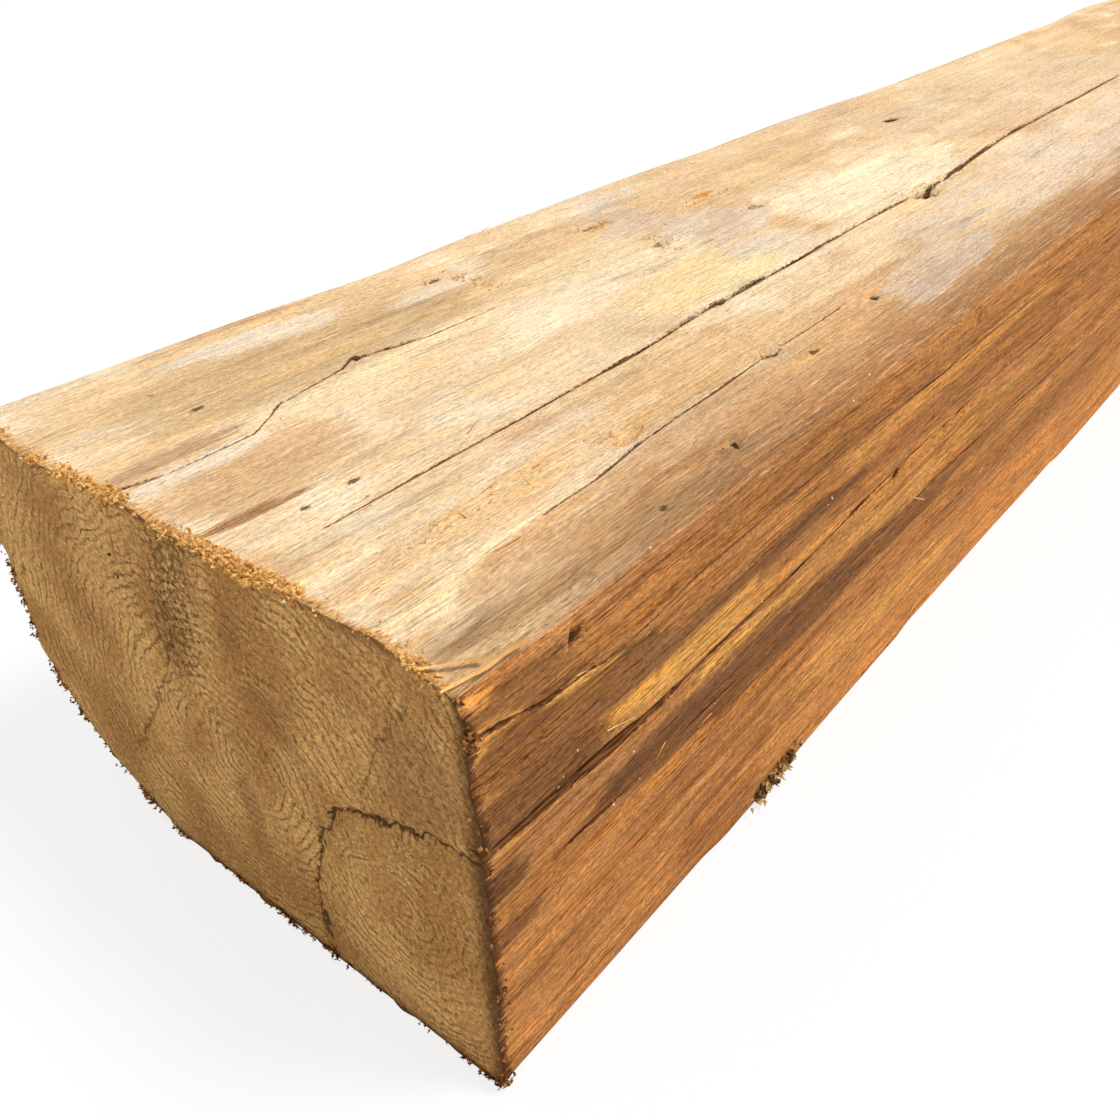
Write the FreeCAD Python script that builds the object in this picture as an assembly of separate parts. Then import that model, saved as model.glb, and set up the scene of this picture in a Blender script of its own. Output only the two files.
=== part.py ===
"""Reclaimed timber rafter: one old beam with its wane, drying checks, nail hole and knot hole.

Millimetres.  X runs along the timber, Y across it and Z up.  The timber lies on its flattest face, and
the origin is the middle of that face.  -Y is the weathered side and +Y the waney side.  Places along
the timber are measured from its near end, at -X, and places across it from the weathered side.
"""

import FreeCAD, Part
import math
import os
from dataclasses import dataclass

LENGTH = 2400.0  # a stock length that old rafters are cut to
WIDTH = 225.0  # nominal 9 inch
HEIGHT = 150.0  # nominal 6 inch
SECTIONS = 17  # outlines that the hewn skin is drawn through

# How far each hewn face swings from true, and the pitch of its swells
TOP_SWING = 1.6
TOP_PITCH = 610.0
WEATHERED_SWING = 1.3
WEATHERED_PITCH = 830.0
WANEY_SWING = 3.2
WANEY_PITCH = 470.0
UNDERSIDE_SKIM = 2.0  # taken off below, so that the bearing face is flat

# How far each arris is worn along its two faces
WORN_ARRIS = 17.0  # top, weathered side
CRISP_ARRIS = 7.0  # top, waney side
LOWER_ARRIS = 5.0  # underside, weathered side
ARRIS_FULLNESS = 0.9  # 0 is a flat chamfer, 1 a full round

# The wane, where the log's own outside was left on the lower waney corner
WANE_ACROSS = 62.0
WANE_UP = 48.0
WANE_SWING = 12.0
WANE_PITCH = 1500.0
WANE_FULLNESS = 0.42

# An old nail, pulled out and gone, beside the weathered edge of the top
NAIL_BORE = 3.2
NAIL_DEPTH = 32.0
NAIL_FROM_EDGE = 14.0
NAIL_ALONG = 136.0

# A knot that fell out beside the main check
KNOT_BORE = 7.5
KNOT_DEPTH = 18.0
KNOT_ALONG = 433.0

BORE_RISE = 10.0  # how far the cutting shapes stand out of the faces


@dataclass(frozen=True)
class Check:
    """A drying crack: a V-shaped groove that wanders along the timber and closes at its ends."""

    face: str  # "top" or "side"
    start: float
    end: float
    place: float  # across the top, or up the side
    drift: float  # how far the place moves from start to end
    mouth: float
    depth: float
    lean: float  # how far the root of the groove stands off from its mouth
    wander: float


MAIN_CHECK = Check("top", 25.0, 1480.0, 76.0, 24.0, 4.8, 46.0, 3.0, 2.0)
EDGE_CHECK = Check("top", 62.0, 300.0, 32.0, 6.0, 2.2, 14.0, 4.0, 0.8)
PITH_CHECK = Check("side", -40.0, 640.0, 97.0, -6.0, 2.6, 52.0, -24.0, 1.5)
CHECKS = (MAIN_CHECK, EDGE_CHECK, PITH_CHECK)
CHECK_SPANS = 10  # straight spans that a groove is made of
CHECK_CLOSING = 0.45  # below 1, a check opens quickly from its tip

NEAR_END = -LENGTH / 2
WEATHERED_SIDE = -WIDTH / 2
WANEY_SIDE = WIDTH / 2


def swell(along, pitch, phase):
    """Return a hewn face's swing from true, from -1 to 1, at a place along the timber."""
    slow = math.sin(2 * math.pi * along / pitch + phase)
    quick = math.sin(2 * math.pi * along / (0.37 * pitch) + 2.3 * phase)
    return 0.7 * slow + 0.3 * quick


def worn_corner(start, corner, end, fullness):
    """Return the curved edge of a worn corner, from one face to the next."""
    middle = (start + end) * 0.5
    curve = Part.BezierCurve()
    curve.setPoles([start, middle + (corner - middle) * fullness, end])
    return curve.toShape()


def section(along):
    """Return the timber's closed outline at a distance from its near end."""
    top = HEIGHT + TOP_SWING * swell(along, TOP_PITCH, 2.6)
    weathered = WEATHERED_SIDE + WEATHERED_SWING * swell(along, WEATHERED_PITCH, 0.4)
    waney = WANEY_SIDE + WANEY_SWING * swell(along, WANEY_PITCH, 1.9)
    grown = WANE_SWING * math.sin(2 * math.pi * along / WANE_PITCH + 0.7)

    def arris(side, level, across, up, fullness):
        """Return a corner as its edge's start, the faces' meeting point, its end and its fullness."""
        inward = 1 if side < 0 else -1
        upward = 1 if level < HEIGHT / 2 else -1
        on_flat = FreeCAD.Vector(NEAR_END + along, side + inward * across, level)
        on_side = FreeCAD.Vector(NEAR_END + along, side, level + upward * up)
        meeting = FreeCAD.Vector(NEAR_END + along, side, level)
        turns_up = (side < 0) == (level < HEIGHT / 2)
        first, last = (on_flat, on_side) if turns_up else (on_side, on_flat)
        return first, meeting, last, fullness

    low = -UNDERSIDE_SKIM
    corners = (
        arris(weathered, low, LOWER_ARRIS, LOWER_ARRIS, ARRIS_FULLNESS),
        arris(weathered, top, WORN_ARRIS, WORN_ARRIS, ARRIS_FULLNESS),
        arris(waney, top, CRISP_ARRIS, CRISP_ARRIS, ARRIS_FULLNESS),
        arris(waney, low, WANE_ACROSS + grown, WANE_UP + grown, WANE_FULLNESS),
    )
    edges = []
    for corner, following in zip(corners, corners[1:] + corners[:1]):
        edges.append(worn_corner(*corner))
        edges.append(Part.makeLine(corner[2], following[0]))
    return Part.Wire(edges)


def hewn_timber():
    """Return the timber's outside, drawn through its sections and planed flat below."""
    step = LENGTH / (SECTIONS - 1)
    outlines = [section(index * step) for index in range(SECTIONS)]
    skin = Part.makeLoft(outlines, True, False)
    below = Part.makeBox(2 * LENGTH, 2 * WIDTH, HEIGHT, FreeCAD.Vector(-LENGTH, -WIDTH, -HEIGHT))
    return skin.cut(below)


def check_outline(check, portion):
    """Return the V of a check at a portion of the way along it, mouth first."""
    along = NEAR_END + check.start + portion * (check.end - check.start)
    opened = max(math.sin(math.pi * portion), 0.02) ** CHECK_CLOSING
    depth = check.depth * opened
    half = 0.5 * check.mouth * opened * (1 + BORE_RISE / depth)
    wander = check.wander * math.sin(9.0 * portion) + check.drift * portion
    place = check.place + wander
    rise = check.lean * BORE_RISE / check.depth

    def point(shift, inward):
        """Return a corner of the V, at a shift from its middle and a depth below the face."""
        if check.face == "top":
            return FreeCAD.Vector(along, WEATHERED_SIDE + place + shift, HEIGHT - inward)
        return FreeCAD.Vector(along, WEATHERED_SIDE + inward, place + shift)

    mouth_low = point(-half - rise, -BORE_RISE)
    mouth_high = point(half - rise, -BORE_RISE)
    root = point(check.lean * opened, depth)
    return Part.makePolygon([mouth_low, mouth_high, root, mouth_low])


def check_groove(check):
    """Return the solid that opens a check."""
    outlines = [check_outline(check, index / CHECK_SPANS) for index in range(CHECK_SPANS + 1)]
    return Part.makeLoft(outlines, True, True)


def blind_hole(along, across, bore, depth):
    """Return the solid that opens an upright blind hole in the top."""
    foot = FreeCAD.Vector(NEAR_END + along, WEATHERED_SIDE + across, HEIGHT - depth)
    return Part.makeCylinder(bore / 2, depth + BORE_RISE, foot)


def rafter():
    """Return the finished timber, with its origin in the middle of its bearing face."""
    portion = (KNOT_ALONG - MAIN_CHECK.start) / (MAIN_CHECK.end - MAIN_CHECK.start)
    knot_across = MAIN_CHECK.place + MAIN_CHECK.drift * portion
    cuts = [check_groove(check) for check in CHECKS]
    cuts.append(blind_hole(NAIL_ALONG, NAIL_FROM_EDGE + WORN_ARRIS / 2, NAIL_BORE, NAIL_DEPTH))
    cuts.append(blind_hole(KNOT_ALONG, knot_across, KNOT_BORE, KNOT_DEPTH))
    timber = hewn_timber()
    for cut in cuts:
        timber = timber.cut(cut)
    solid = timber.Solids[0]
    middle = solid.optimalBoundingBox().Center
    solid.translate(FreeCAD.Vector(-middle.x, -middle.y, 0))
    return solid


os.makedirs("parts", exist_ok=True)
rafter().exportStep("parts/rafter.step")
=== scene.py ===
"""Looks of a reclaimed timber rafter: its hewn skin, sawn ends, drying checks, holes, splinters and dirt.

Lengths are in metres in the row frame, and in millimetres where a name or a comment says so.  A place
on the timber is (along, across, up): from its near end, from its weathered side and from its underside.
"""

import logging
import math
from dataclasses import dataclass
from enum import Enum
from typing import Optional, Sequence, Union

import bmesh
import bpy
import numpy as np
from mathutils import Matrix, Vector


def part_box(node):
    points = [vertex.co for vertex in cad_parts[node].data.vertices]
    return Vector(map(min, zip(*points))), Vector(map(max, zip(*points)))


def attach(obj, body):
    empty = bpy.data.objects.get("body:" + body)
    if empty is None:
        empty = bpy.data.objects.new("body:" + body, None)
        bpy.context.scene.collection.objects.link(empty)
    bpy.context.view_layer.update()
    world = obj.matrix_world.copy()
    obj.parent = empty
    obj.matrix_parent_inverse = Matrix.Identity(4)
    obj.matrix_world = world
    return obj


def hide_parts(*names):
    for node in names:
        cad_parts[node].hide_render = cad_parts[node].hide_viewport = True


logging.basicConfig(level=logging.INFO, format="%(levelname)s %(message)s")
LOG = logging.getLogger("rafter")

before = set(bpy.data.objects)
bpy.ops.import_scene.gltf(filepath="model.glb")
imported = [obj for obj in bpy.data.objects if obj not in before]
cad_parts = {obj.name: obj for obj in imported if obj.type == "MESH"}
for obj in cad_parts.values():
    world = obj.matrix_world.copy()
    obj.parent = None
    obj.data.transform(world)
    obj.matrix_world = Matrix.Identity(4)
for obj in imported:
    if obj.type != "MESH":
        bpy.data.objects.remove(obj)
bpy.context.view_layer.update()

Array = np.ndarray
Colour = tuple[float, float, float]
Socket = bpy.types.NodeSocket
Value = Union[float, Socket]

NODE = "rafter"
MM = 0.001


# ---------------------------------------------------------------- measures and noise


def to_linear(red: int, green: int, blue: int) -> Colour:
    """Turn a screen colour into a linear one.

    Args:
        red: red, 0 to 255.
        green: green, 0 to 255.
        blue: blue, 0 to 255.

    Returns:
        The linear colour.
    """
    screen = np.array([red, green, blue]) / 255.0
    low = screen / 12.92
    high = ((screen + 0.055) / 1.055) ** 2.4
    linear = np.where(screen <= 0.04045, low, high)
    return tuple(float(part) for part in linear)


def smooth(low: float, high: float, value: Array) -> Array:
    """Return the smooth step of value between low and high."""
    portion = np.clip((value - low) / (high - low), 0.0, 1.0)
    return portion * portion * (3.0 - 2.0 * portion)


def lattice(cells: Array, seed: int) -> Array:
    """Return a repeatable random number from -1 to 1 for each whole-numbered cell.

    Args:
        cells: whole numbers, with three to a cell on the last axis.
        seed: which of the random fields.

    Returns:
        One number for each cell.
    """
    mixed = cells[..., 0] * 73856093 ^ cells[..., 1] * 19349663 ^ cells[..., 2] * 83492791
    mixed = (mixed ^ (seed * 2654435761)) & 0xFFFFFFFF
    mixed = ((mixed >> 15) ^ mixed) * 2246822519 & 0xFFFFFFFF
    mixed = ((mixed >> 13) ^ mixed) * 3266489917 & 0xFFFFFFFF
    mixed = (mixed >> 16) ^ mixed
    return (mixed & 0xFFFFFF) / float(0x7FFFFF) - 1.0


def noise(points: Array, size: Sequence[float], seed: int) -> Array:
    """Return smooth random relief from -1 to 1.

    Args:
        points: places in mm, on the last axis.
        size: size of the relief's lumps along each axis, in mm.
        seed: which of the random fields.

    Returns:
        One number for each place.
    """
    scaled = points / np.asarray(size, float)
    cell = np.floor(scaled).astype(np.int64)
    part = scaled - cell
    part = part * part * (3.0 - 2.0 * part)
    total = np.zeros(points.shape[:-1])
    for corner in range(8):
        step = np.array([corner & 1, corner >> 1 & 1, corner >> 2 & 1])
        weight = np.prod(np.where(step == 1, part, 1.0 - part), axis=-1)
        total += weight * lattice(cell + step, seed)
    return total


def crumpled(points: Array, size: Sequence[float], seed: int, octaves: int = 3) -> Array:
    """Return noise with finer noise laid over it, each layer half as large and half as strong."""
    total = np.zeros(points.shape[:-1])
    for octave in range(octaves):
        scale = 0.5**octave
        total += scale * noise(points, np.asarray(size, float) * scale, seed + 31 * octave)
    return total / (2.0 - 0.5 ** (octaves - 1))


@dataclass(frozen=True)
class Measures:
    """The timber's main sizes, in mm, and where it lies.

    Attributes:
        corner: the box's lowest corner, in metres.
        length: length along X.
        width: width across Y.
        height: height up Z.
        side_gap: from the box's side to the weathered face.
    """

    corner: Vector
    length: float
    width: float
    height: float
    side_gap: float

    @classmethod
    def of_node(cls, name: str, width: float, height: float) -> "Measures":
        """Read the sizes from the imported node.

        Args:
            name: the node.
            width: the timber's stock width, in mm.
            height: its stock height, in mm.

        Returns:
            The measures.
        """
        low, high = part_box(name)
        box_width = (high.y - low.y) / MM
        return cls(low, (high.x - low.x) / MM, width, height, (box_width - width) / 2)

    def in_row(self, points: Array) -> Array:
        """Turn places on the timber, in mm, into the row frame, in metres."""
        moved = np.asarray(points, float) + np.array([0.0, self.side_gap, 0.0])
        return moved * MM + np.array(self.corner)

    def spot(self, along: float, across: float, up: float) -> Vector:
        """Return one place on the timber in the row frame."""
        return Vector(self.in_row(np.array([along, across, up])))


# ---------------------------------------------------------------- what the years left on the faces


class Face(Enum):
    """The four long faces, in their order round the timber."""

    TOP = 0
    WANEY = 1
    UNDER = 2
    WEATHERED = 3


@dataclass(frozen=True)
class Check:
    """A drying crack that runs along a face.

    Attributes:
        face: the face that it opens in.
        rest: the place across the face that its middle line has before it wanders, in mm.
        route: (along, place across the face, openness) in mm, mm and 0 to 1.
        half: half of its mouth where it is fully open, in mm.
        depth: its depth there, in mm.
    """

    face: Face
    rest: float
    route: tuple[tuple[float, float, float], ...]
    half: float
    depth: float

    def middle(self, along: Array) -> Array:
        """Return where the middle line is across the face."""
        stations, places, _ = np.array(self.route).T
        return np.interp(along, stations, places)

    def openness(self, along: Array) -> Array:
        stations, _, opened = np.array(self.route).T
        return np.interp(along, stations, opened, left=0.0, right=0.0)


@dataclass(frozen=True)
class Pit:
    """A nail hole, a lost knot or a torn-out chip.

    Attributes:
        face: the face that it is in.
        along: its place along the timber, in mm.
        place: its place across the face, in mm.
        reach: half of its length along the grain, in mm.
        half: half of its width, in mm.
        depth: its depth, in mm; a bump has a negative depth.
        pit_darkness: how dark its inside is, 0 to 1.
    """

    face: Face
    along: float
    place: float
    reach: float
    half: float
    depth: float
    pit_darkness: float = 1.0


@dataclass(frozen=True)
class Stroke:
    """A band or patch of another colour on a face.

    Attributes:
        face: the face that it is on.
        start: where it starts along the timber, in mm.
        end: where it ends, in mm.
        place: its middle across the face at its start, in mm.
        drift: how far its middle moves by its end, in mm.
        half: half of its width, in mm.
        colour: its colour, as screen values.
        strength: how much it covers, 0 to 1.
        ragged: how far its edges wander, in mm.
    """

    face: Face
    start: float
    end: float
    place: float
    drift: float
    half: float
    colour: tuple[int, int, int]
    strength: float = 0.8
    ragged: float = 3.0


TOP_CHECKS = (
    Check(
        Face.TOP,
        34.0,
        (
            (62, 31, 0),
            (90, 32, 0.3),
            (112, 35, 0.6),
            (135, 36, 0.2),
            (165, 37, 0.4),
            (190, 38, 0.15),
            (260, 38, 0),
        ),
        0.65,
        4.0,
    ),
    Check(
        Face.TOP,
        79.0,
        (
            (20, 74, 0),
            (60, 75, 0.22),
            (110, 75, 0.32),
            (150, 76, 0.42),
            (172, 77, 0.7),
            (215, 80, 1.0),
            (270, 80, 1.0),
            (290, 79.5, 0.7),
            (330, 80, 0.75),
            (352, 81, 0.9),
            (405, 81, 0.8),
            (470, 82, 1.0),
            (550, 88, 0.9),
            (760, 90, 0.8),
            (1000, 94, 1.0),
            (1300, 97, 0.6),
            (1480, 100, 0),
        ),
        1.25,
        9.0,
    ),
    Check(
        Face.TOP,
        145.0,
        (
            (0, 137, 0.9),
            (18, 134, 0.6),
            (50, 135, 0.3),
            (62, 142, 0.1),
            (67, 146, 0.6),
            (76, 147, 0.2),
            (98, 150, 0.15),
            (108, 155, 1.0),
            (120, 151, 0.8),
            (142, 149, 0.3),
            (180, 150, 0),
        ),
        0.7,
        5.0,
    ),
)
SIDE_CHECKS = (
    Check(
        Face.WEATHERED,
        74.0,
        (
            (24, 74, 0),
            (34, 74, 0.4),
            (60, 73, 0.3),
            (110, 73, 0.14),
            (180, 74, 0.2),
            (240, 74, 0.3),
            (282, 76, 0.7),
            (340, 75, 0.25),
            (500, 72, 0.12),
            (640, 71, 0),
        ),
        0.8,
        5.0,
    ),
    Check(
        Face.WEATHERED,
        96.0,
        (
            (0, 99, 0.9),
            (25, 97.5, 1.0),
            (50, 95.5, 1.0),
            (76, 94, 0.8),
            (92, 94.5, 0.2),
            (104, 94.5, 0.6),
            (144, 95.5, 0.45),
            (170, 97, 0.15),
            (240, 99, 0.3),
            (340, 103, 0.2),
            (640, 96, 0),
        ),
        1.6,
        7.0,
    ),
    Check(
        Face.WEATHERED,
        128.0,
        (
            (0, 134, 0.2),
            (12, 131, 0.9),
            (17, 130, 0.2),
            (28, 127, 1.0),
            (34, 127, 0.1),
            (60, 126, 0.1),
            (96, 129, 0.3),
            (140, 130, 0.14),
            (200, 130, 0.1),
            (270, 128, 0.3),
            (420, 127, 0.1),
            (700, 128, 0),
        ),
        0.9,
        3.0,
    ),
)
CHECKS = TOP_CHECKS + SIDE_CHECKS
CHECK_REACH = 3.4

PITS = (
    Pit(Face.TOP, 198.0, 38.0, 3.6, 2.0, 4.0),
    Pit(Face.TOP, 116.0, 42.0, 7.0, 3.0, 2.6, 0.35),
    Pit(Face.TOP, 136.0, 13.0, 2.4, 1.6, 6.0),
    Pit(Face.TOP, 129.0, 12.5, 7.0, 0.9, 1.4, 0.7),
    Pit(Face.TOP, 270.0, 33.5, 3.0, 2.2, 3.5, 0.9),
    Pit(Face.TOP, 420.0, 79.0, 13.0, 5.0, 9.0, 0.95),
    Pit(Face.TOP, 448.0, 83.0, 7.0, 3.2, 6.0, 0.9),
    Pit(Face.TOP, 112.0, 153.5, 5.0, 1.2, 2.0, 0.7),
    Pit(Face.TOP, 195.0, 172.0, 4.0, 5.0, 2.0, 0.4),
    Pit(Face.TOP, 283.0, 182.0, 8.0, 3.0, 2.0, 0.6),
    Pit(Face.TOP, 281.0, 142.0, 7.0, 4.0, 2.0, 0.5),
    Pit(Face.TOP, 355.0, 136.0, 8.0, 4.0, 1.2, 0.5),
    Pit(Face.TOP, 565.0, 164.0, 9.0, 4.5, 2.2, 0.7),
    Pit(Face.TOP, 119.0, 3.0, 6.0, 3.0, -1.2, 0.35),
    Pit(Face.TOP, 28.0, 50.0, 4.0, 3.0, -0.8, 0.0),
    Pit(Face.TOP, 48.0, 52.0, 7.0, 2.0, -0.7, 0.0),
    Pit(Face.TOP, 482.0, 112.0, 5.0, 2.5, 1.0, 0.4),
    Pit(Face.WEATHERED, 237.0, 95.0, 3.6, 2.6, 3.0, 0.9),
    Pit(Face.WEATHERED, 299.0, 139.0, 3.0, 1.6, 4.0, 0.95),
    Pit(Face.WEATHERED, 283.0, 99.0, 6.0, 1.2, 1.6, 0.7),
    Pit(Face.WEATHERED, 40.0, 141.0, 1.5, 1.2, 2.0, 0.9),
)

KNOTS = (
    (47.0, 86.5, 1.4),
    (29.0, 86.0, 1.1),
    (50.0, 165.0, 1.6),
    (90.0, 10.0, 1.1),
    (207.0, 27.0, 1.5),
    (184.0, 191.0, 1.8),
    (564.0, 163.0, 4.6),
)

# The heart stains on a sawn end: across, up, half width and half height, in mm
HEART_STAINS = ((20, 112, 20, 24), (91, 126, 7, 15), (82, 103, 12, 6), (80, 96, 14, 4), (101, 47, 9, 22))

# Single pale crumbs on the weathered side: along and up, in mm
SIDE_CRUMBS = ((57.0, 82.0), (62.0, 84.0), (52.0, 73.0), (104.0, 72.0), (88.0, 31.0), (173.0, 113.0))

# Torn spots on the top: along, across, reach along, half width, and how many fibres
TORN_TUFTS = (
    (116.0, 42.0, 9.0, 3.5, 26),
    (198.0, 40.0, 8.0, 4.0, 22),
    (195.0, 174.0, 6.0, 12.0, 46),
    (283.0, 181.0, 12.0, 4.0, 34),
    (282.0, 140.0, 8.0, 12.0, 46),
    (350.0, 166.0, 22.0, 3.0, 30),
    (425.0, 80.0, 24.0, 6.0, 46),
    (60.0, 50.0, 24.0, 5.0, 30),
    (356.0, 136.0, 8.0, 4.0, 16),
    (183.0, 191.0, 6.0, 2.0, 12),
)

# Crumbs of plaster on the top: along, across, reach along, half width, and how many
PLASTER_PATCHES = (
    (29.0, 50.0, 6.0, 4.0, 22),
    (50.0, 51.0, 14.0, 4.0, 18),
    (76.0, 50.0, 16.0, 3.0, 10),
    (34.0, 34.0, 20.0, 10.0, 8),
)

# How many loose fibres there are: at each end's edge, on the near and far faces, and in the flake
EDGE_FIBRES = 2000
FACE_SPLINTERS = 260
FLAKE_FIBRES = 150

# The fibres' finishes: name, darkest and palest colour
FIBRE_FINISHES = (
    ("torn_fibre", (190, 134, 66), (250, 206, 130)),
    ("dark_fibre", (70, 44, 22), (170, 114, 60)),
    ("pale_fibre", (176, 116, 62), (242, 198, 132)),
    ("bark_flake", (84, 58, 30), (196, 160, 104)),
    ("old_plaster", (214, 196, 166), (250, 244, 228)),
)

# The camera's right and backward directions
CAMERA_RIGHT = (0.630213, -0.775766, -0.031922)
CAMERA_BACK = (-0.636036, -0.539407, 0.551813)

MAUVE = (118, 80, 52)
UMBER = (98, 64, 38)
OCHRE = (226, 170, 90)
HONEY = (218, 160, 88)
ORANGE = (222, 158, 90)
RUSSET = (150, 98, 54)
CREAM = (255, 232, 188)
BUTTER = (255, 228, 166)
LILAC = (226, 206, 190)
CHALK = (244, 228, 208)
BROWN = (186, 134, 88)
DUST = (178, 140, 98)

SIDE_STROKES = tuple(
    Stroke(Face.WEATHERED, *row)
    for row in (
        (-9, 46, 141, -7, 6.0, MAUVE, 0.55, 4),
        (-9, 16, 146, -2, 2.2, ORANGE, 0.95, 2),
        (-9, 24, 135, -6, 2.0, HONEY, 0.9, 2),
        (-9, 90, 123, -11, 8.5, UMBER, 0.58, 6),
        (-9, 64, 107, -5, 7.0, (112, 74, 44), 0.8, 4),
        (-6, 10, 128, -2, 1.6, OCHRE, 0.8, 2),
        (24, 62, 127, -3, 1.5, OCHRE, 0.9, 1.5),
        (40, 220, 112, 1, 3.6, MAUVE, 0.7, 3),
        (34, 150, 103, -1, 3.4, OCHRE, 0.85, 3),
        (74, 175, 90.5, -1, 2.0, OCHRE, 0.85, 2),
        (-9, 70, 89, -2, 3.0, BROWN, 0.5, 3),
        (-9, 20, 83, 0, 5.0, UMBER, 0.8, 3),
        (30, 250, 78, -6, 9.0, MAUVE, 0.86, 4),
        (90, 300, 68, -2, 4.5, UMBER, 0.7, 3),
        (200, 460, 73, 2, 3.0, MAUVE, 0.5, 3),
        (-9, 22, 64, 0, 4.0, UMBER, 0.6, 3),
        (30, 210, 57.5, -1, 0.9, RUSSET, 0.9, 1),
        (10, 190, 51, -2, 0.8, RUSSET, 0.8, 1),
        (0, 160, 45, 0, 0.8, RUSSET, 0.7, 1),
        (60, 300, 43, -3, 2.6, HONEY, 0.6, 3),
        (78, 150, 17, -2, 12.0, RUSSET, 0.62, 6),
        (150, 330, 33, -3, 4.0, OCHRE, 0.5, 4),
        (150, 420, 84, 4, 3.5, OCHRE, 0.45, 4),
        (200, 420, 116, 2, 2.6, RUSSET, 0.5, 3),
        (120, 420, 122, 6, 3.0, HONEY, 0.4, 4),
    )
)
TOP_STROKES = tuple(
    Stroke(Face.TOP, *row)
    for row in (
        (-9, 82, 112, 2, 17, (214, 166, 114), 0.65, 12),
        (-9, 44, 96, -3, 2.4, (160, 104, 60), 0.85, 2),
        (-9, 60, 129, 3, 4.5, CHALK, 0.7, 3),
        (40, 190, 140, 8, 6.0, CREAM, 0.75, 5),
        (-9, 60, 142, 2, 4.0, (176, 122, 78), 0.6, 3),
        (10, 185, 172, 0, 21, (218, 184, 138), 0.8, 12),
        (55, 150, 205, -10, 6.0, CHALK, 0.8, 6),
        (140, 215, 183, 0, 4.5, CHALK, 0.75, 5),
        (60, 150, 222, -8, 3.0, (218, 168, 120), 0.7, 3),
        (190, 305, 100, -4, 17, BUTTER, 0.5, 12),
        (200, 300, 160, -10, 14, (246, 220, 172), 0.6, 12),
        (285, 345, 150, 10, 60, LILAC, 0.5, 20),
        (335, 520, 112, -6, 19, (255, 238, 204), 0.85, 14),
        (340, 640, 200, 4, 22, (228, 194, 156), 0.6, 16),
        (520, 900, 140, -10, 50, (232, 202, 168), 0.6, 20),
        (340, 372, 167, 2, 2.0, (222, 150, 72), 0.9, 2),
        (272, 298, 179, 1, 2.0, (226, 160, 84), 0.9, 2),
        (60, 140, 60, 2, 5.0, CHALK, 0.35, 6),
        (18, 40, 50, 0, 4.0, (240, 224, 196), 0.85, 4),
        (38, 74, 51, 0, 2.6, (234, 210, 176), 0.75, 5),
        (-9, 130, 26, 4, 4.0, CREAM, 0.8, 3),
        (-9, 70, 48, 0, 5.0, (232, 188, 136), 0.5, 4),
        (4, 150, 13, 0, 7.0, DUST, 0.85, 4),
        (200, 330, 40, 0, 5.0, (224, 174, 122), 0.6, 4),
        (260, 380, 25, 4, 12, LILAC, 0.6, 10),
        (330, 420, 50, 0, 14, LILAC, 0.45, 10),
        (390, 1000, 46, 0, 28, (236, 212, 192), 0.55, 20),
        (110, 300, 6, 0, 4.0, BROWN, 0.55, 4),
        (10, 280, 20, 6, 10.0, (206, 152, 96), 0.5, 7),
        (20, 260, 46, 4, 9.0, (232, 184, 124), 0.4, 8),
    )
)
STROKES = SIDE_STROKES + TOP_STROKES


# ---------------------------------------------------------------- the timber's skin


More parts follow.
